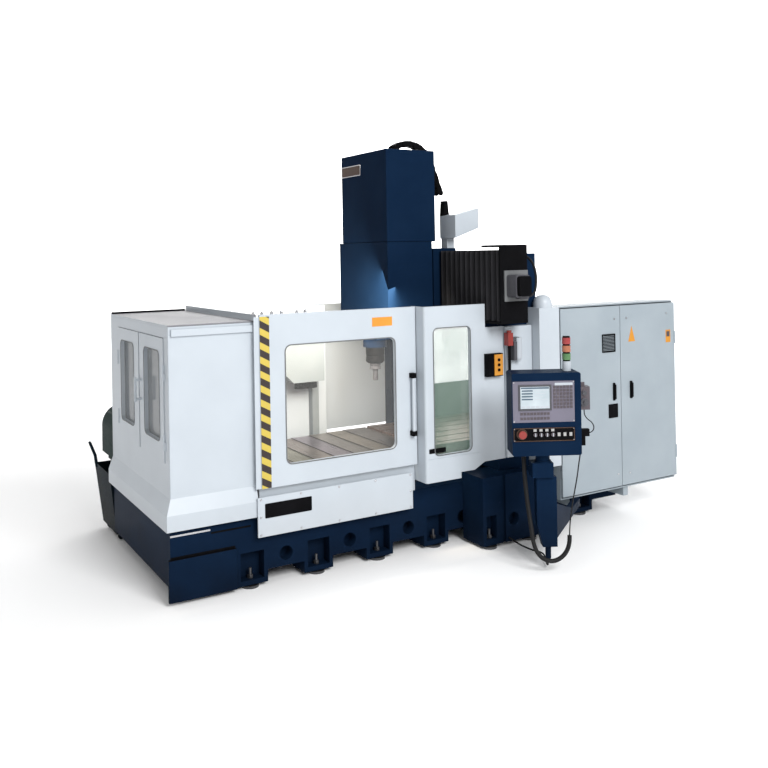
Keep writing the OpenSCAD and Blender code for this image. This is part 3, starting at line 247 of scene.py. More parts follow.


# NAVY, WHITE, GREEN and BIN shift towards a greyer tone near the floor, in noisy patches.
NAVY = surface("navy", (0.0038, 0.0125, 0.033), (0.0052, 0.0155, 0.039), (0.25, 0.4),
               shine=0.008, grain=90, floor_tone=(0.004, 0.005, 0.008))
WHITE = surface("white", (0.435, 0.478, 0.522), (0.465, 0.51, 0.555), (0.3, 0.42), grain=90,
                floor_tone=(0.38, 0.38, 0.38))
ROOF = surface("roof", (0.16, 0.16, 0.175), (0.19, 0.19, 0.205), (0.35, 0.5), grain=90)
CABINET = surface("cabinet", (0.27, 0.315, 0.35), (0.3, 0.345, 0.38), (0.38, 0.5), grain=120)
STEEL = surface("steel", (0.4, 0.4, 0.42), (0.55, 0.55, 0.57), (0.18, 0.38), 1.0, 90)
DARK_STEEL = surface("dark_steel", (0.06, 0.06, 0.065), (0.12, 0.12, 0.125), (0.3, 0.5), 0.8, 90)
BLUE_GREY = surface("blue_grey", (0.17, 0.195, 0.21), (0.2, 0.225, 0.24), (0.35, 0.5), grain=90)
IRON = surface("iron", (0.29, 0.19, 0.155), (0.4, 0.275, 0.225), (0.3, 0.5), 1.0, 70)
CHROME = surface("chrome", (0.62, 0.62, 0.64), (0.72, 0.72, 0.74), (0.08, 0.2), 1.0, 60)
BLACK = surface("black", (0.0025, 0.0025, 0.003), (0.005, 0.005, 0.006), (0.4, 0.6), shine=0.03)
RUBBER = surface("rubber", (0.006, 0.006, 0.0065), (0.012, 0.012, 0.013), (0.5, 0.75), 0, 140,
                 shine=0.2)
BELLOWS = surface("bellows", (0.012, 0.012, 0.014), (0.02, 0.02, 0.023), (0.5, 0.75), 0, 140,
                  shine=0.15)
SEAL = surface("seal", (0.09, 0.095, 0.1), (0.14, 0.145, 0.15), (0.5, 0.7), 0, 140)
GREY = surface("grey", (0.05, 0.05, 0.058), (0.07, 0.07, 0.08), (0.3, 0.5), shine=0.3)
LIGHT_GREY = surface("light_grey", (0.36, 0.4, 0.44), (0.43, 0.46, 0.5), (0.35, 0.5))
GREEN = surface("green", (0.003, 0.016, 0.014), (0.006, 0.024, 0.02), (0.35, 0.55),
                shine=0.03, floor_tone=(0.012, 0.012, 0.01))
BIN = surface("bin", (0.003, 0.008, 0.013), (0.005, 0.012, 0.02), (0.4, 0.6), shine=0.03,
              floor_tone=(0.012, 0.012, 0.01))
FACE = surface("face", (0.115, 0.11, 0.145), (0.14, 0.13, 0.175), (0.4, 0.5))
KEYS = surface("keys", (0.05, 0.04, 0.05), (0.075, 0.06, 0.07), (0.35, 0.5))
WHITE_KEYS = surface("white_keys", (0.3, 0.3, 0.3), (0.36, 0.36, 0.35), (0.35, 0.5))
RED = surface("red", (0.2, 0.018, 0.014), (0.26, 0.028, 0.02), (0.25, 0.4))
ORANGE = surface("orange", (0.6, 0.22, 0.02), (0.68, 0.27, 0.03), (0.3, 0.45))
AMBER = surface("amber", (0.5, 0.2, 0.012), (0.58, 0.25, 0.02), (0.25, 0.4))
BRONZE = surface("bronze", (0.05, 0.028, 0.02), (0.08, 0.045, 0.03), (0.3, 0.45), 0.6)
LAMP_RED = glowing("lamp_red", (0.23, 0.028, 0.03), (0.29, 0.042, 0.042), 0.08)
LAMP_AMBER = glowing("lamp_amber", (0.29, 0.1, 0.055), (0.35, 0.13, 0.07), 0.08)
LAMP_GREEN = glowing("lamp_green", (0.055, 0.14, 0.055), (0.085, 0.185, 0.075), 0.08)
SCREEN = glowing("screen", (0.30, 0.35, 0.38), (0.38, 0.43, 0.46), 0.3)
SCREEN_DARK = glowing("screen_dark", (0.05, 0.08, 0.11), (0.08, 0.11, 0.15), 0.2)
HAZARD = striped("hazard", 0.107)
PANE = glass("pane", (0.8, 0.8, 0.77), 0.04, 0.1)
PANE_GREEN = glass("pane_green", (0.17, 0.24, 0.2), 0.5)
# The end windows' dark tint is painted shade: it stands for the shaded inside seen through them.
PANE_SHADE = glass("pane_shade", (0.1, 0.12, 0.15), 0.5)

# Painted reflection: each cover plate gets one of these olive, brown, purple and tan colours,
# standing for the different reflections of slightly tilted steel plates.
REFLECTION_TINTS = [(0.36, 0.33, 0.24), (0.30, 0.23, 0.20), (0.33, 0.27, 0.32), (0.36, 0.31, 0.28),
         (0.44, 0.36, 0.28), (0.31, 0.25, 0.22)]
PLATES = [surface("plate_%d" % i, [c * 0.72 for c in t], t, (0.22, 0.42), 1.0, 40, 0.0002, 2.5,
                  (1, 0.06, 1)) for i, t in enumerate(REFLECTION_TINTS)]

NODE_LOOK = {
    "navy_paint": NAVY, "white_paint": WHITE, "cabinet_paint": CABINET, "bright_steel": STEEL,
    "black_sheet": BLACK, "grey_motor": GREY, "bellows_rubber": RUBBER, "window_glass": PANE,
    "black_plastic": BLACK, "table_iron": IRON, "cover_steel": PLATES[0],
    "grey_paint": LIGHT_GREY, "green_paint": GREEN, "bin_paint": BIN, "panel_face": FACE,
    "lamp_plastic": LAMP_RED, "hose_rubber": RUBBER,
}
OWN_LOOK = {
    "left_roof": ROOF, "door_rail": WHITE, "end_window_near": PANE_SHADE,
    "end_window_far": PANE_SHADE, "tool_changer": BLUE_GREY, "levelling_pads": DARK_STEEL,
}
EDGE_MM = {
    "navy_paint": 5, "white_paint": 4, "cabinet_paint": 4, "bright_steel": 1.5,
    "black_sheet": 3, "grey_motor": 3, "table_iron": 2, "grey_paint": 4, "green_paint": 3,
    "bin_paint": 1.5,
}
SLOT = {s["node"]: s["material_slot"] for s in frame["record"]["subparts"]}
BODY = {n: b for b, nodes in frame["record"]["behaviour"]["bodies"].items() for n in nodes}


# Cords, on the routes that their solids have
CORDS = {
    "motor_cable": (shop, 22, "medium", "taut", [
        (2935, -450, 2120), (2950, -450, 2120), (2978, -449, 2125), (3004, -447, 2140),
        (3024, -444, 2163), (3037, -439, 2193), (3048, -431, 2228), (3059, -420, 2266),
        (3070, -403, 2306), (3079, -381, 2344), (3086, -357, 2378), (3088, -331, 2408),
        (3084, -306, 2432), (3073, -283, 2451), (3056, -266, 2466), (3033, -255, 2476),
        (3008, -250, 2480), (2990.3, -250, 2480)]),
    "pendant_hose": (on_pendant, 34, "medium", "hanging", [
        (-140, 40, 916), (-140, 40, 890), (-139, 36, 800), (-136, 24, 700), (-131, 6, 600),
        (-124, -18, 500), (-117, -44, 410), (-110, -68, 335), (-103, -88, 255),
        (-84, -99, 188), (-48, -104, 137), (0, -105, 108), (50, -104, 102), (98, -102, 118),
        (138, -100, 151), (165, -98, 195), (178, -95, 244), (181, -92, 292)]),
    "pendant_cable": (on_pendant, 10, "medium", "hanging", [
        (181, -92, 292), (184, -89, 341), (189, -86, 390), (201, -80, 470), (218, -72, 560),
        (239, -63, 650), (259, -54, 740), (275, -45, 830), (287, -38, 890), (295, -33, 925),
        (299, -31, 948), (300, -30, 962), (300, -30, 975)]),
    "handwheel_lead": (on_pendant, 8, "limp", "hanging", [
        (331, -20, 1253), (331, -20, 1238), (333, -20, 1216), (341, -20, 1196),
        (355, -20, 1178), (372, -20, 1164), (388, -20, 1150), (400, -20, 1133),
        (406, -20, 1114), (404, -20, 1096), (396, -20, 1082), (384, -20, 1073),
        (374, -20, 1070), (366, -20, 1070)]),
    "post_conduit": (shop, 14, "medium", "loose", [
        (2840, -270, 60), (2840, -285, 60), (2843, -315, 54), (2850, -355, 42),
        (2860, -405, 30), (2870, -460, 23), (2877, -520, 21), (2879, -575, 24),
        (2873, -625, 32), (2861, -672, 38), (2842, -717, 38), (2815, -760, 32),
        (2786, -802, 24), (2762, -840, 20), (2748, -863.5, 24.6), (2738, -880.3, 37.6),
        (2731.4, -891.5, 57), (2729.1, -895.5, 80), (2729.1, -895.5, 90)]),
}


def smooth_route(points, steps=6):
    """Points on one smooth curve through the route's points."""
    ends = [points[0] * 2 - points[1]] + points + [points[-1] * 2 - points[-2]]
    route = []
    for a, b, c, d in zip(ends, ends[1:], ends[2:], ends[3:]):
        for k in range(steps):
            t = k / steps
            route.append(0.5 * (b * 2 + (c - a) * t + (a * 2 - b * 5 + c * 4 - d) * t ** 2
                                + (b * 3 - a - c * 3 + d) * t ** 3))
    return route + [points[-1]]


def add_cord(name, place, diameter, stiffness, lay, points):
    route = smooth_route([place(*p) for p in points])
    data = bpy.data.curves.new(name + "_line", "CURVE")
    data.dimensions = "3D"
    data.bevel_depth = diameter / 2 * MM
    data.bevel_resolution = 3
    data.use_fill_caps = True
    spline = data.splines.new("POLY")
    spline.points.add(len(route) - 1)
    for point, at in zip(spline.points, route):
        point.co = (*at, 1)
    cord = bpy.data.objects.new(name + "_line", data)
    bpy.context.scene.collection.objects.link(cord)
    data.materials.append(RUBBER)
    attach(cord, BODY[name])
    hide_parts(name)


for cord_name, cord_facts in CORDS.items():
    add_cord(cord_name, *cord_facts)


# Mesh helpers
class Shape:
    """A mesh in millimetres, joined from boxes, rods and outlines, each with its own look."""

    def __init__(self, place=shop):
        self.mesh = bmesh.new()
        self.place = place

    def add(self, points, faces, look):
        corners = [self.mesh.verts.new(self.place(*p)) for p in points]
        for face in faces:
            self.mesh.faces.new([corners[i] for i in face]).material_index = look

    def box(self, a, b, look=0):
        points = [(x, y, z) for x in (a[0], b[0]) for y in (a[1], b[1]) for z in (a[2], b[2])]
        self.add(points, [(0, 1, 3, 2), (4, 6, 7, 5), (0, 4, 5, 1), (2, 3, 7, 6),
                          (0, 2, 6, 4), (1, 5, 7, 3)], look)

    def prism(self, outline, y0, y1, look=0):
        """An outline in X and Z, given depth from y0 to y1."""
        n = len(outline)
        points = [(x, y, z) for y in (y0, y1) for x, z in outline]
        sides = [(i, (i + 1) % n, n + (i + 1) % n, n + i) for i in range(n)]
        self.add(points, [tuple(range(n)), tuple(range(n, 2 * n))] + sides, look)

    def frame(self, outer, inner, y0, y1, look=0):
        """A flat ring between two outlines with the same number of points."""
        n = len(outer)
        points = [(x, y, z) for y in (y0, y1) for line in (outer, inner) for x, z in line]
        faces = []
        for i in range(n):
            j = (i + 1) % n
            faces += [(i, j, n + j, n + i), (2 * n + i, 2 * n + j, 3 * n + j, 3 * n + i),
                      (i, j, 2 * n + j, 2 * n + i), (n + i, n + j, 3 * n + j, 3 * n + i)]
        self.add(points, faces, look)

    def rod(self, a, b, radius, look=0, sides=20, tip=None):
        """A round bar or cone from a to b."""
        a, b = Vector(a), Vector(b)
        along = (b - a).normalized()
        side = along.orthogonal().normalized()
        other = along.cross(side)
        ends = ((a, radius), (b, radius if tip is None else tip))
        points = [c + (side * math.cos(t) + other * math.sin(t)) * r for c, r in ends
                  for t in (2 * math.pi * k / sides for k in range(sides))]
        walls = [(i, (i + 1) % sides, sides + (i + 1) % sides, sides + i) for i in range(sides)]
        self.add(points, [tuple(range(sides)), tuple(range(sides, 2 * sides))] + walls, look)

    def make(self, name, body, looks, edge=1.0):
        """Turns the mesh into a piece that rides on a body, with soft edges."""
        bmesh.ops.recalc_face_normals(self.mesh, faces=self.mesh.faces)
        data = bpy.data.meshes.new(name)
        self.mesh.to_mesh(data)
        self.mesh.free()
        for look in looks:
            data.materials.append(look)
        return finish_piece(bpy.data.objects.new(name, data), body, edge)


def finish_piece(piece, body, edge):
    bpy.context.scene.collection.objects.link(piece)
    for face in piece.data.polygons:
        face.use_smooth = True
    piece.data.set_sharp_from_angle(angle=math.radians(32))
    if edge:
        add_bevel(piece, edge)
    if body:
        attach(piece, body)
    return piece


def add_bevel(piece, edge):
    bevel = piece.modifiers.new("edges", "BEVEL")
    bevel.width = edge * MM
    bevel.segments = 2
    bevel.angle_limit = math.radians(40)
    bevel.harden_normals = True


def rounded(x0, z0, x1, z1, r, steps=5):
    """The outline of a rectangle with round corners."""
    outline = []
    for cx, cz, start in ((x1 - r, z1 - r, 0), (x0 + r, z1 - r, 90), (x0 + r, z0 + r, 180),
                          (x1 - r, z0 + r, 270)):
        for k in range(steps + 1):
            t = math.radians(start + 90 * k / steps)
            outline.append((cx + r * math.cos(t), cz + r * math.sin(t)))
    return outline


def gasket(shape, x0, z0, x1, z1, r, y0, y1, width=12, look=0):
    """A rubber ring round a window opening."""
    shape.frame(rounded(x0 - width, z0 - width, x1 + width, z1 + width, r + width),
                rounded(x0, z0, x1, z1, r), y0, y1, look)


def bolts(shape, places, radius=9, height=6, look=0):
    """Hexagon screws whose heads point towards the operator."""
    for x, y, z in places:
        shape.rod((x, y, z), (x, y - 2, z), radius * 1.3, look, 16)
        shape.rod((x, y - 2, z), (x, y - height, z), radius, look, 6)


# Copies of CAD nodes that show more than one finish
def copy_node(name):
    """The node's mesh in a new object, with its split corners joined again."""
    source = frame["nodes"][name]
    data = source.data.copy()
    data.materials.clear()
    mesh = bmesh.new()
    mesh.from_mesh(data)
    bmesh.ops.remove_doubles(mesh, verts=mesh.verts, dist=0.00002)
    bmesh.ops.dissolve_limit(mesh, angle_limit=math.radians(1), verts=mesh.verts,
                             edges=mesh.edges)
    mesh.to_mesh(data)
    mesh.free()
    piece = bpy.data.objects.new(name + "_skin", data)
    piece.matrix_world = source.matrix_world
    return piece


def dress(name, looks, choose, edge=1.0, body=None, island=False):
    """Replaces a node with a copy whose faces take the look that choose gives for their place."""
    piece = copy_node(name)
    for look in looks:
        piece.data.materials.append(look)
    for face in piece.data.polygons:
        spot = (piece.matrix_world @ face.center - ZERO) / MM
        face.material_index = choose(spot)
    finish_piece(piece, BODY[name] if body is None else body, edge)
    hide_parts(name)
    return piece


def pendant_spot(spot):
    """A point in the pendant's own frame, from one in shop places."""
    c, s = math.cos(PENDANT_TURN), math.sin(PENDANT_TURN)
    x, y = spot.x - POST[0], spot.y - POST[1]
    return Vector((x * c + y * s, y * c - x * s, spot.z))


def dress_nodes():
    """Gives each CAD node the finish of its slot, and softens its sharp edges."""
    for name, slot in SLOT.items():
        node = frame["nodes"][name]
        node.data.materials.clear()
        node.data.materials.append(OWN_LOOK.get(name, NODE_LOOK[slot]))
        if slot in EDGE_MM:
            weld = node.modifiers.new("weld", "WELD")
            weld.merge_threshold = 0.00002
            add_bevel(node, EDGE_MM[slot])


dress_nodes()


# Pendant
SCREEN_X0, SCREEN_X1, SCREEN_Z0, SCREEN_Z1 = -191, 40, 1281, 1453
STRIP_TOP = 1136
LENS_Z0, LENS_PITCH = 1637, 62


def panel_look(spot):
    p = pendant_spot(spot)
    if p.y > -107.5:
        return 2 if p.z < STRIP_TOP + 4 else 0
    if p.z < STRIP_TOP:
        if p.x > -120:
            return 1
        return 4 if p.y < -125 else 3
    beside_screen = SCREEN_X0 - 16 < p.x < SCREEN_X1 + 16 and p.z > SCREEN_Z0 - 16
    return 5 if beside_screen else 1


def lamp_look(spot):
    p = pendant_spot(spot)
    level = int((p.z - LENS_Z0) // LENS_PITCH)
    reach = math.hypot(p.x - 203, p.y)
    inside_ring = (p.z - LENS_Z0 - level * LENS_PITCH) < 1
    if p.z < LENS_Z0 - 5:
        return 0
    if reach < 30 and (level < 0 or level > 2 or inside_ring):
        return 1
    return 2 + min(max(level, 0), 2) if reach > 28.5 else 1


def unit_look(spot):
    p = pendant_spot(spot)
    if p.z < 1110:
        return 2
    if p.y < -57:
        return 1
    return 3 if p.y < -46 else 0


def add_pendant():
    dress("pendant_panel", [FACE, KEYS, BLACK, BRONZE, RED, GREY], panel_look, 0.8)
    dress("stack_light", [LIGHT_GREY, BLACK, LAMP_GREEN, LAMP_AMBER, LAMP_RED], lamp_look, 1.0)
    dress("handwheel", [KEYS, GREY, BLACK, FACE], unit_look, 1.5)
    view = Shape(on_pendant)
    x0, x1, z0, z1 = SCREEN_X0 + 2, SCREEN_X1 - 2, SCREEN_Z0 + 2, SCREEN_Z1 - 2
    view.box((x0, -110.2, z0), (x1, -109, z1), 0)
    view.box((x0 + 4, -110.8, z1 - 16), (x1 - 4, -110, z1 - 4), 1)
    for i in range(4):
        view.box((x0 + 10, -110.8, z1 - 36 - 22 * i), (x0 + 96, -110, z1 - 25 - 22 * i), 1)
        view.box((x0 + 110, -110.8, z1 - 33 - 22 * i), (x1 - 12 - 18 * (i % 3), -110,
                                                       z1 - 28 - 22 * i), 2)
    for i in range(6):
        view.box((x0 + 6 + 37 * i, -110.8, z0 + 5), (x0 + 37 + 37 * i, -110, z0 + 20), 2)
    view.make("pendant_screen", "pendant", [SCREEN, SCREEN_DARK, LIGHT_GREY], 0)
    trim = Shape(on_pendant)
    for x in (-240, 225):
        for z in (1184, 1485, 1036, 1126):
            trim.rod((x, -107, z), (x, -109, z), 5, 0, 12)
    for i in range(4):
        x = -79 + 46 * i
        trim.rod((x, -107, 1081), (x, -109, 1081), 19, 1)
        trim.box((x - 3, -129, 1068), (x + 3, -124, 1094), 2)
        trim.box((x - 12, -109, 1104), (x + 12, -107, 1124), 4)
        trim.box((x + 130, -109, 1066), (x + 152, -107, 1094), 4)
    trim.rod((-181, -107, 1086), (-181, -108.5, 1086), 42, 3, 32)
    trim.frame(rounded(-246, 1029, 231, 1133, 8), rounded(-240, 1035, 225, 1127, 5), -109, -107,
               3)
    trim.box((80, -108, 1458), (220, -107, 1478), 2)
    trim.make("pendant_trim", "pendant", [STEEL, BLACK, LIGHT_GREY, BRONZE, WHITE_KEYS],
              0.4)
    back = Shape(on_pendant)
    for i in range(8):
        back.box((-120, 110, 1000 + 20 * i), (140, 112, 1008 + 20 * i), 0)
    for z in (960, 1500):
        for x in (-230, 258):
            back.rod((x, 110, z), (x, 114, z), 7, 1, 12)
    back.make("pendant_back_vents", "pendant", [BLACK, STEEL], 0.6)


add_pendant()


# Way covers: telescopic plates that share out the table's travel
PLATE_COUNT = 12
PLATE_L, PLATE_T, PLATE_STEP, PLATE_TOP, PLATE_HALF = 245, 2.5, 3.2, 745, 556


def add_cover(name, first_x, pitch, wiper_side):
    low_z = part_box(name)[0].z / MM
    for k in range(PLATE_COUNT):
        x0 = first_x + k * pitch
        top = PLATE_TOP + k * PLATE_STEP
        half = PLATE_HALF + k * PLATE_STEP
        inner = half - PLATE_T
        section = [(-half, low_z), (-half, top), (half, top), (half, low_z), (inner, low_z),
                   (inner, top - PLATE_T), (-inner, top - PLATE_T), (-inner, low_z)]
        plate = Shape(on_end)
        plate.prism([(AXIS_Y + y, z) for y, z in section], x0, x0 + PLATE_L, 0)
        edge = x0 if wiper_side < 0 else x0 + PLATE_L
        lip = sorted((edge + 7 * wiper_side, edge))
        plate.prism([(AXIS_Y + y, z + 0.5) for y, z in section[1:3]]
                    + [(AXIS_Y + inner, top - 0.7), (AXIS_Y - inner, top - 0.7)],
                    lip[0] + 0.2, lip[1] + 0.2, 1)
        # Each plate takes the next painted reflection colour.
        piece = plate.make("%s_plate_%d" % (name, k), None,
                           [PLATES[k % len(PLATES)], RUBBER], 0.6)
        if k == 0:
            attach(piece, "root")
            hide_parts(name)
        elif k == PLATE_COUNT - 1:
            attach(piece, "table")
        else:
            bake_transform(piece)


TABLE_X0, COVER_X0, COVER_X1 = 2400, 100, 4290
add_cover("way_cover_left", COVER_X0,
          (TABLE_X0 - COVER_X0 - PLATE_L - 0.3) / (PLATE_COUNT - 1), -1)
add_cover("way_cover_right", COVER_X1 - PLATE_L, -(290 - PLATE_L - 0.3) / (PLATE_COUNT - 1), 1)


# Bellows: folds of equal pitch along the node's length
FOLDS = 12


def on_plan(x, z, y):
    """A point given with its height second, for outlines seen from above."""
    return shop(x, y, z)


def add_bellows(name):
    low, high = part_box(name)
    y0, y1 = (low.y - ZERO.y) / MM, (high.y - ZERO.y) / MM
    x0, x1 = (low.x - ZERO.x) / MM, (high.x - ZERO.x) / MM
    z0, z1 = low.z / MM, high.z / MM
    pitch = (y1 - y0) / FOLDS
    crest, sheet = 0.05 * pitch, 4
    for i in range(FOLDS):
        y = y0 + i * pitch
        half = y + pitch / 2
        outer = [(x1 - sheet, y), (x1 - sheet, y + crest), (x0, half - crest),
                 (x0, half + crest), (x1 - sheet, y + pitch - crest), (x1 - sheet, y + pitch)]
        inner = [(x + sheet, at) for x, at in reversed(outer)]
        fold = Shape(on_plan)
        fold.prism(outer + inner, z0, z1, 0)
        fold.prism([(x0 - 0.5, half - crest), (x0 - 0.5, half + crest), (x0 + 3, half + crest),
                    (x0 + 3, half - crest)], z0 + 1, z1 - 1, 1)
        piece = fold.make("%s_fold_%d" % (name, i), None, [BELLOWS, BLACK], 0)
        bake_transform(piece)
        if i == 0:
            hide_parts(name)


add_bellows("bellows_near")
add_bellows("bellows_far")


# Front of the enclosure
SIDE_X0, SIDE_X1 = 2160, 2530
SIDE_CAD_X1, SIDE_CAD_Z0, SIDE_CAD_Z1 = 2370, 830, 1872


def widen(name, look, edge):
    """A copy of a node whose window reaches as far to the right as the photograph shows."""
    piece = copy_node(name)
    piece.data.materials.append(look)
    pane = name == "side_window"
    reach = (SIDE_CAD_X1 + 60) if pane else (SIDE_CAD_X1 + 1)
    for vertex in piece.data.vertices:
        spot = (vertex.co - ZERO) / MM
        if (SIDE_X0 + SIDE_CAD_X1) / 2 < spot.x < reach and (
                pane or SIDE_CAD_Z0 - 1 < spot.z < SIDE_CAD_Z1 + 1):
            vertex.co.x += (SIDE_X1 - SIDE_CAD_X1) * MM
    finish_piece(piece, "root", edge)
    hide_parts(name)


def add_front():
    trim = Shape()
    gasket(trim, 890, 913, 1860, 1810, 45, DOOR_FRONT - 4, DOOR_FRONT, 9)
    trim.make("door_window_gasket", "front_door", [SEAL], 1.2)
    lip = Shape()
    lip.box((DOOR_X0 - 42, DOOR_FRONT + 10, DOOR_Z0 + 3), (DOOR_X0 + 2, DOOR_FRONT + 13, 2040))
    lip.make("door_edge_lip", "front_door", [WHITE], 0.8)
    dress("sliding_door_handle", [BLACK, WHITE],
          lambda spot: int(1050 < spot.z < 1460), 1.5)
    strip = Shape()
    strip.box((DOOR_X0 + 1, DOOR_FRONT - 1.2, DOOR_Z0 + 3), (DOOR_X0 + 78, DOOR_FRONT, 2040))
    strip.make("hazard_strip", "front_door", [HAZARD], 0.3)
    plate = Shape()
    plate.box((1651, DOOR_FRONT - 1.5, 1912), (1839, DOOR_FRONT, 1985))
    plate.make("door_orange_plate", "front_door", [ORANGE], 0.4)
    name_plate = Shape()
    name_plate.prism(rounded(700, 530, 1088, 640, 8), -61.5, -60, 0)
    name_plate.prism(rounded(2100, 850, 2265, 890, 6), BUMP_FRONT - 1.5, BUMP_FRONT, 0)
    name_plate.make("bare_black_plates", "root", [BLACK], 0.4)
    side = Shape()
    gasket(side, SIDE_X0, 830, SIDE_X1, 1872, 40, BUMP_FRONT - 4, BUMP_FRONT, 8)
    side.make("side_window_gasket", "root", [SEAL], 1.2)
    widen("right_front_panel", WHITE, EDGE_MM["white_paint"])
    widen("side_window", PANE_GREEN, 0)
    bits = Shape()
    for x in (650, 720, 800, 880, 1010, 1080):
        bits.rod((x, -10, WALL_TOP - 1), (x, -10, WALL_TOP + 14), 13, 0, 20)
        bits.rod((x, -10, WALL_TOP + 14), (x, -10, WALL_TOP + 22), 8, 0, 6)
    bits.make("top_edge_screws", "root", [CHROME], 0.6)
    screws = Shape()
    bolts(screws, [(x, -60, z) for x in (668, 1988) for z in (410, 542, 674)], 7, 5)
    bolts(screws, [(x, -60, z) for x in (998, 1328, 1658) for z in (410, 674)], 7, 5)
    screws.make("apron_screws", "root", [STEEL], 0.5)


add_front()


# Left end: gaskets round the door windows
def add_left_end():
    for name, y0, y1 in (("near", 205, 605), ("far", 905, 1305)):
        ring = Shape(on_end)
        gasket(ring, y0, 1150, y1, 1810, 45, -9, -6, 7)
        ring.make("end_gasket_" + name, "end_door_" + name, [SEAL], 1.2)
    strips = Shape()
    strips.box((0, 14, 490), (298, 20, 503))
    strips.box((305, 16, 466), (615, 20, 478), 1)
    # These two black sheets are painted shade: they stand for the dark gap above the corner
    # cover.
    strips.box((-19, -8, 330), (490, 19, 332), 1)
    strips.box((0, 18, 330), (490, 20, 346), 1)
    strips.box((0, 1620, 2010), (655, 1636, 2026), 1)
    strips.make("cover_strips", "root", [STEEL, BLACK], 0.4)


add_left_end()


# Head: the bare plate on its left side, and the duct and motor behind it
def add_head():
    badge = Shape(on_end)
    y0, y1, z0, z1 = BADGE
    badge.frame(rounded(y0, z0, y1, z1, 8), rounded(y0 + 7, z0 + 7, y1 - 7, z1 - 7, 3),
                HEAD_X0 - 4, HEAD_X0, 0)
    badge.box((y0 + 6, HEAD_X0 - 2, z0 + 6), (y1 - 6, HEAD_X0, z1 - 6), 1)
    badge.make("head_bare_plate", "head", [CHROME, BRONZE], 0.8)
    dress("cable_duct", [WHITE, BLACK], lambda spot: int(spot.y > 545 and spot.z > 2908), 3)
    dress("beam_motor", [GREY, SEAL, BLACK],
          lambda spot: 1 if spot.y > -404 else (2 if spot.y < -523 else 0), 3)
    dress("spindle", [BLACK, BLACK, GREY],
          lambda spot: 0 if spot.z > 1560 else (1 if spot.z > 1492 else 2), 1)
    dress("left_roof", [WHITE, ROOF], lambda spot: int(2009 < spot.z < 2011), 2)


BADGE = (872, 1236, 3222, 3322)
add_head()


# Air unit and switch box face
def air_look(spot):
    if spot.x < 2932:
        return 3 if spot.z > 1680 else 2
    return 0 if spot.x > 2963 and spot.z < 1758 else 1


def add_air_unit():
    dress("air_unit", [LIGHT_GREY, GREY, BLACK, RED], air_look, 1.0)
    face = Shape()
    face.box((2748, -232, 1444), (2838, -225, 1622), 0)
    face.box((2682, -227, 1450), (2740, -225, 1616), 1)
    for z in (1490, 1533, 1576):
        face.rod((2793, -232, z), (2793, -239, z), 13, 1)
    face.make("switch_box_face", "root", [AMBER, BLACK], 0.8)


add_air_unit()


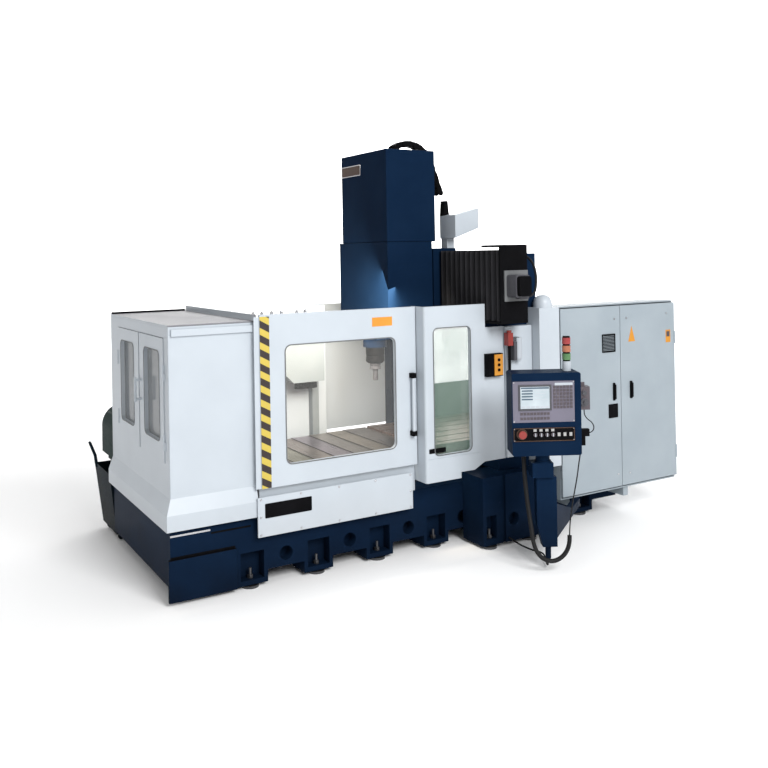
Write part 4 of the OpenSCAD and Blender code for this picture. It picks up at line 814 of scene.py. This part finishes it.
# Cabinet
def add_cabinet():
    front = CAB_Y0
    for name, x0, x1, side in (("left", 4047, 4094, -1), ("right", 4265, 4314, 1)):
        handle = Shape()
        handle.prism(rounded(x0 + 8, 1110, x1 - 8, 1273, 8), front - 6, front, 0)
        handle.prism(rounded(x0 + 14, 1124, x1 - 14, 1259, 6), front - 24, front - 6, 0)
        handle.make("cabinet_handle_" + name, "cabinet_door_" + name,
                    [BLACK], 1.2)
    vent = Shape()
    for k in range(12):
        z = 1566 + 13 * k
        vent.box((3935, front - 5, z), (4088, front, z + 7))
    vent.frame(rounded(3929, 1558, 4094, 1726, 6), rounded(3937, 1566, 4086, 1718, 4),
               front - 6, front)
    vent.make("cabinet_vent", "cabinet_door_left", [BLACK], 0.6)
    square = Shape()
    square.prism(rounded(3998, 952, 4116, 1080, 6), front - 3, front, 0)
    square.make("cabinet_socket", "cabinet_door_left", [BLACK], 0.6)
    label = Shape()
    label.prism([(4264, 1639), (4352, 1639), (4308, 1785)], front - 1, front, 0)
    label.box((4765, front - 1, 1600), (4830, front, 1720), 0)
    label.box((4776, front - 1.4, 1655), (4819, front, 1705), 1)
    label.make("cabinet_bare_labels", "cabinet_door_right",
               [AMBER, KEYS], 0.2)
    screws = Shape()
    for x, z in ((4086, 1860), (4110, 426)):
        screws.rod((x, front, z), (x, front - 4, z), 9, 0, 14)
    screws.make("cabinet_screws_left", "cabinet_door_left", [STEEL], 0.4)
    screws = Shape()
    for x, z in ((4240, 1861), (4777, 1881), (4258, 419)):
        screws.rod((x, front, z), (x, front - 4, z), 9, 0, 14)
    screws.make("cabinet_screws_right", "cabinet_door_right", [STEEL], 0.4)


add_cabinet()


# Stage and light
def add_stage():
    """A pale floor that curves up into a wall far behind the machine."""
    turn = math.radians(30.75)
    forward = Vector((math.sin(turn), math.cos(turn), 0))
    right = Vector((math.cos(turn), -math.sin(turn), 0))
    profile = [(-30, 0), (6, 0)]
    profile += [(6 + 8 * math.sin(a), 8 - 8 * math.cos(a))
                for a in (math.radians(9 * k) for k in range(1, 11))] + [(14, 30)]
    points, faces = [], []
    for along, up in profile:
        for side in (-40, 40):
            points.append(forward * along + right * side + Vector((0, 0, up)))
    for i in range(len(profile) - 1):
        faces.append((2 * i, 2 * i + 1, 2 * i + 3, 2 * i + 2))
    mesh = bpy.data.meshes.new("floor")
    mesh.from_pydata(points, [], faces)
    for face in mesh.polygons:
        face.use_smooth = True
    floor = bpy.data.objects.new("floor", mesh)
    bpy.context.scene.collection.objects.link(floor)
    material, nodes, links, shader = new_material("floor")
    shader.inputs["Base Color"].default_value = (0.98, 0.98, 0.98, 1)
    shader.inputs["Roughness"].default_value = 0.9
    mesh.materials.append(material)


def add_area(name, place, target, size, power, color=(1, 1, 1)):
    data = bpy.data.lights.new(name, "AREA")
    data.size = size
    data.energy = power
    data.color = color
    lamp = bpy.data.objects.new(name, data)
    bpy.context.scene.collection.objects.link(lamp)
    lamp.location = place
    lamp.rotation_euler = (Vector(target) - Vector(place)).to_track_quat("-Z", "Y").to_euler()


def add_lights():
    world = bpy.data.worlds.new("world")
    bpy.context.scene.world = world
    world.use_nodes = True
    background = world.node_tree.nodes["Background"]
    background.inputs["Color"].default_value = (1, 1, 1, 1)
    background.inputs["Strength"].default_value = 0.65
    add_area("key", (-0.8, -9.5, 6.5), (0, 0, 1.2), 4, 950)
    add_area("wall", (4, 6, 9), (8, 13, 4), 8, 2000)
    add_area("inside", shop(1700, 350, 1950), shop(1900, 1640, 1250), 0.9, 55, (1, 0.9, 0.74))


add_stage()
add_lights()
bpy.context.scene.view_settings.view_transform = "Standard"
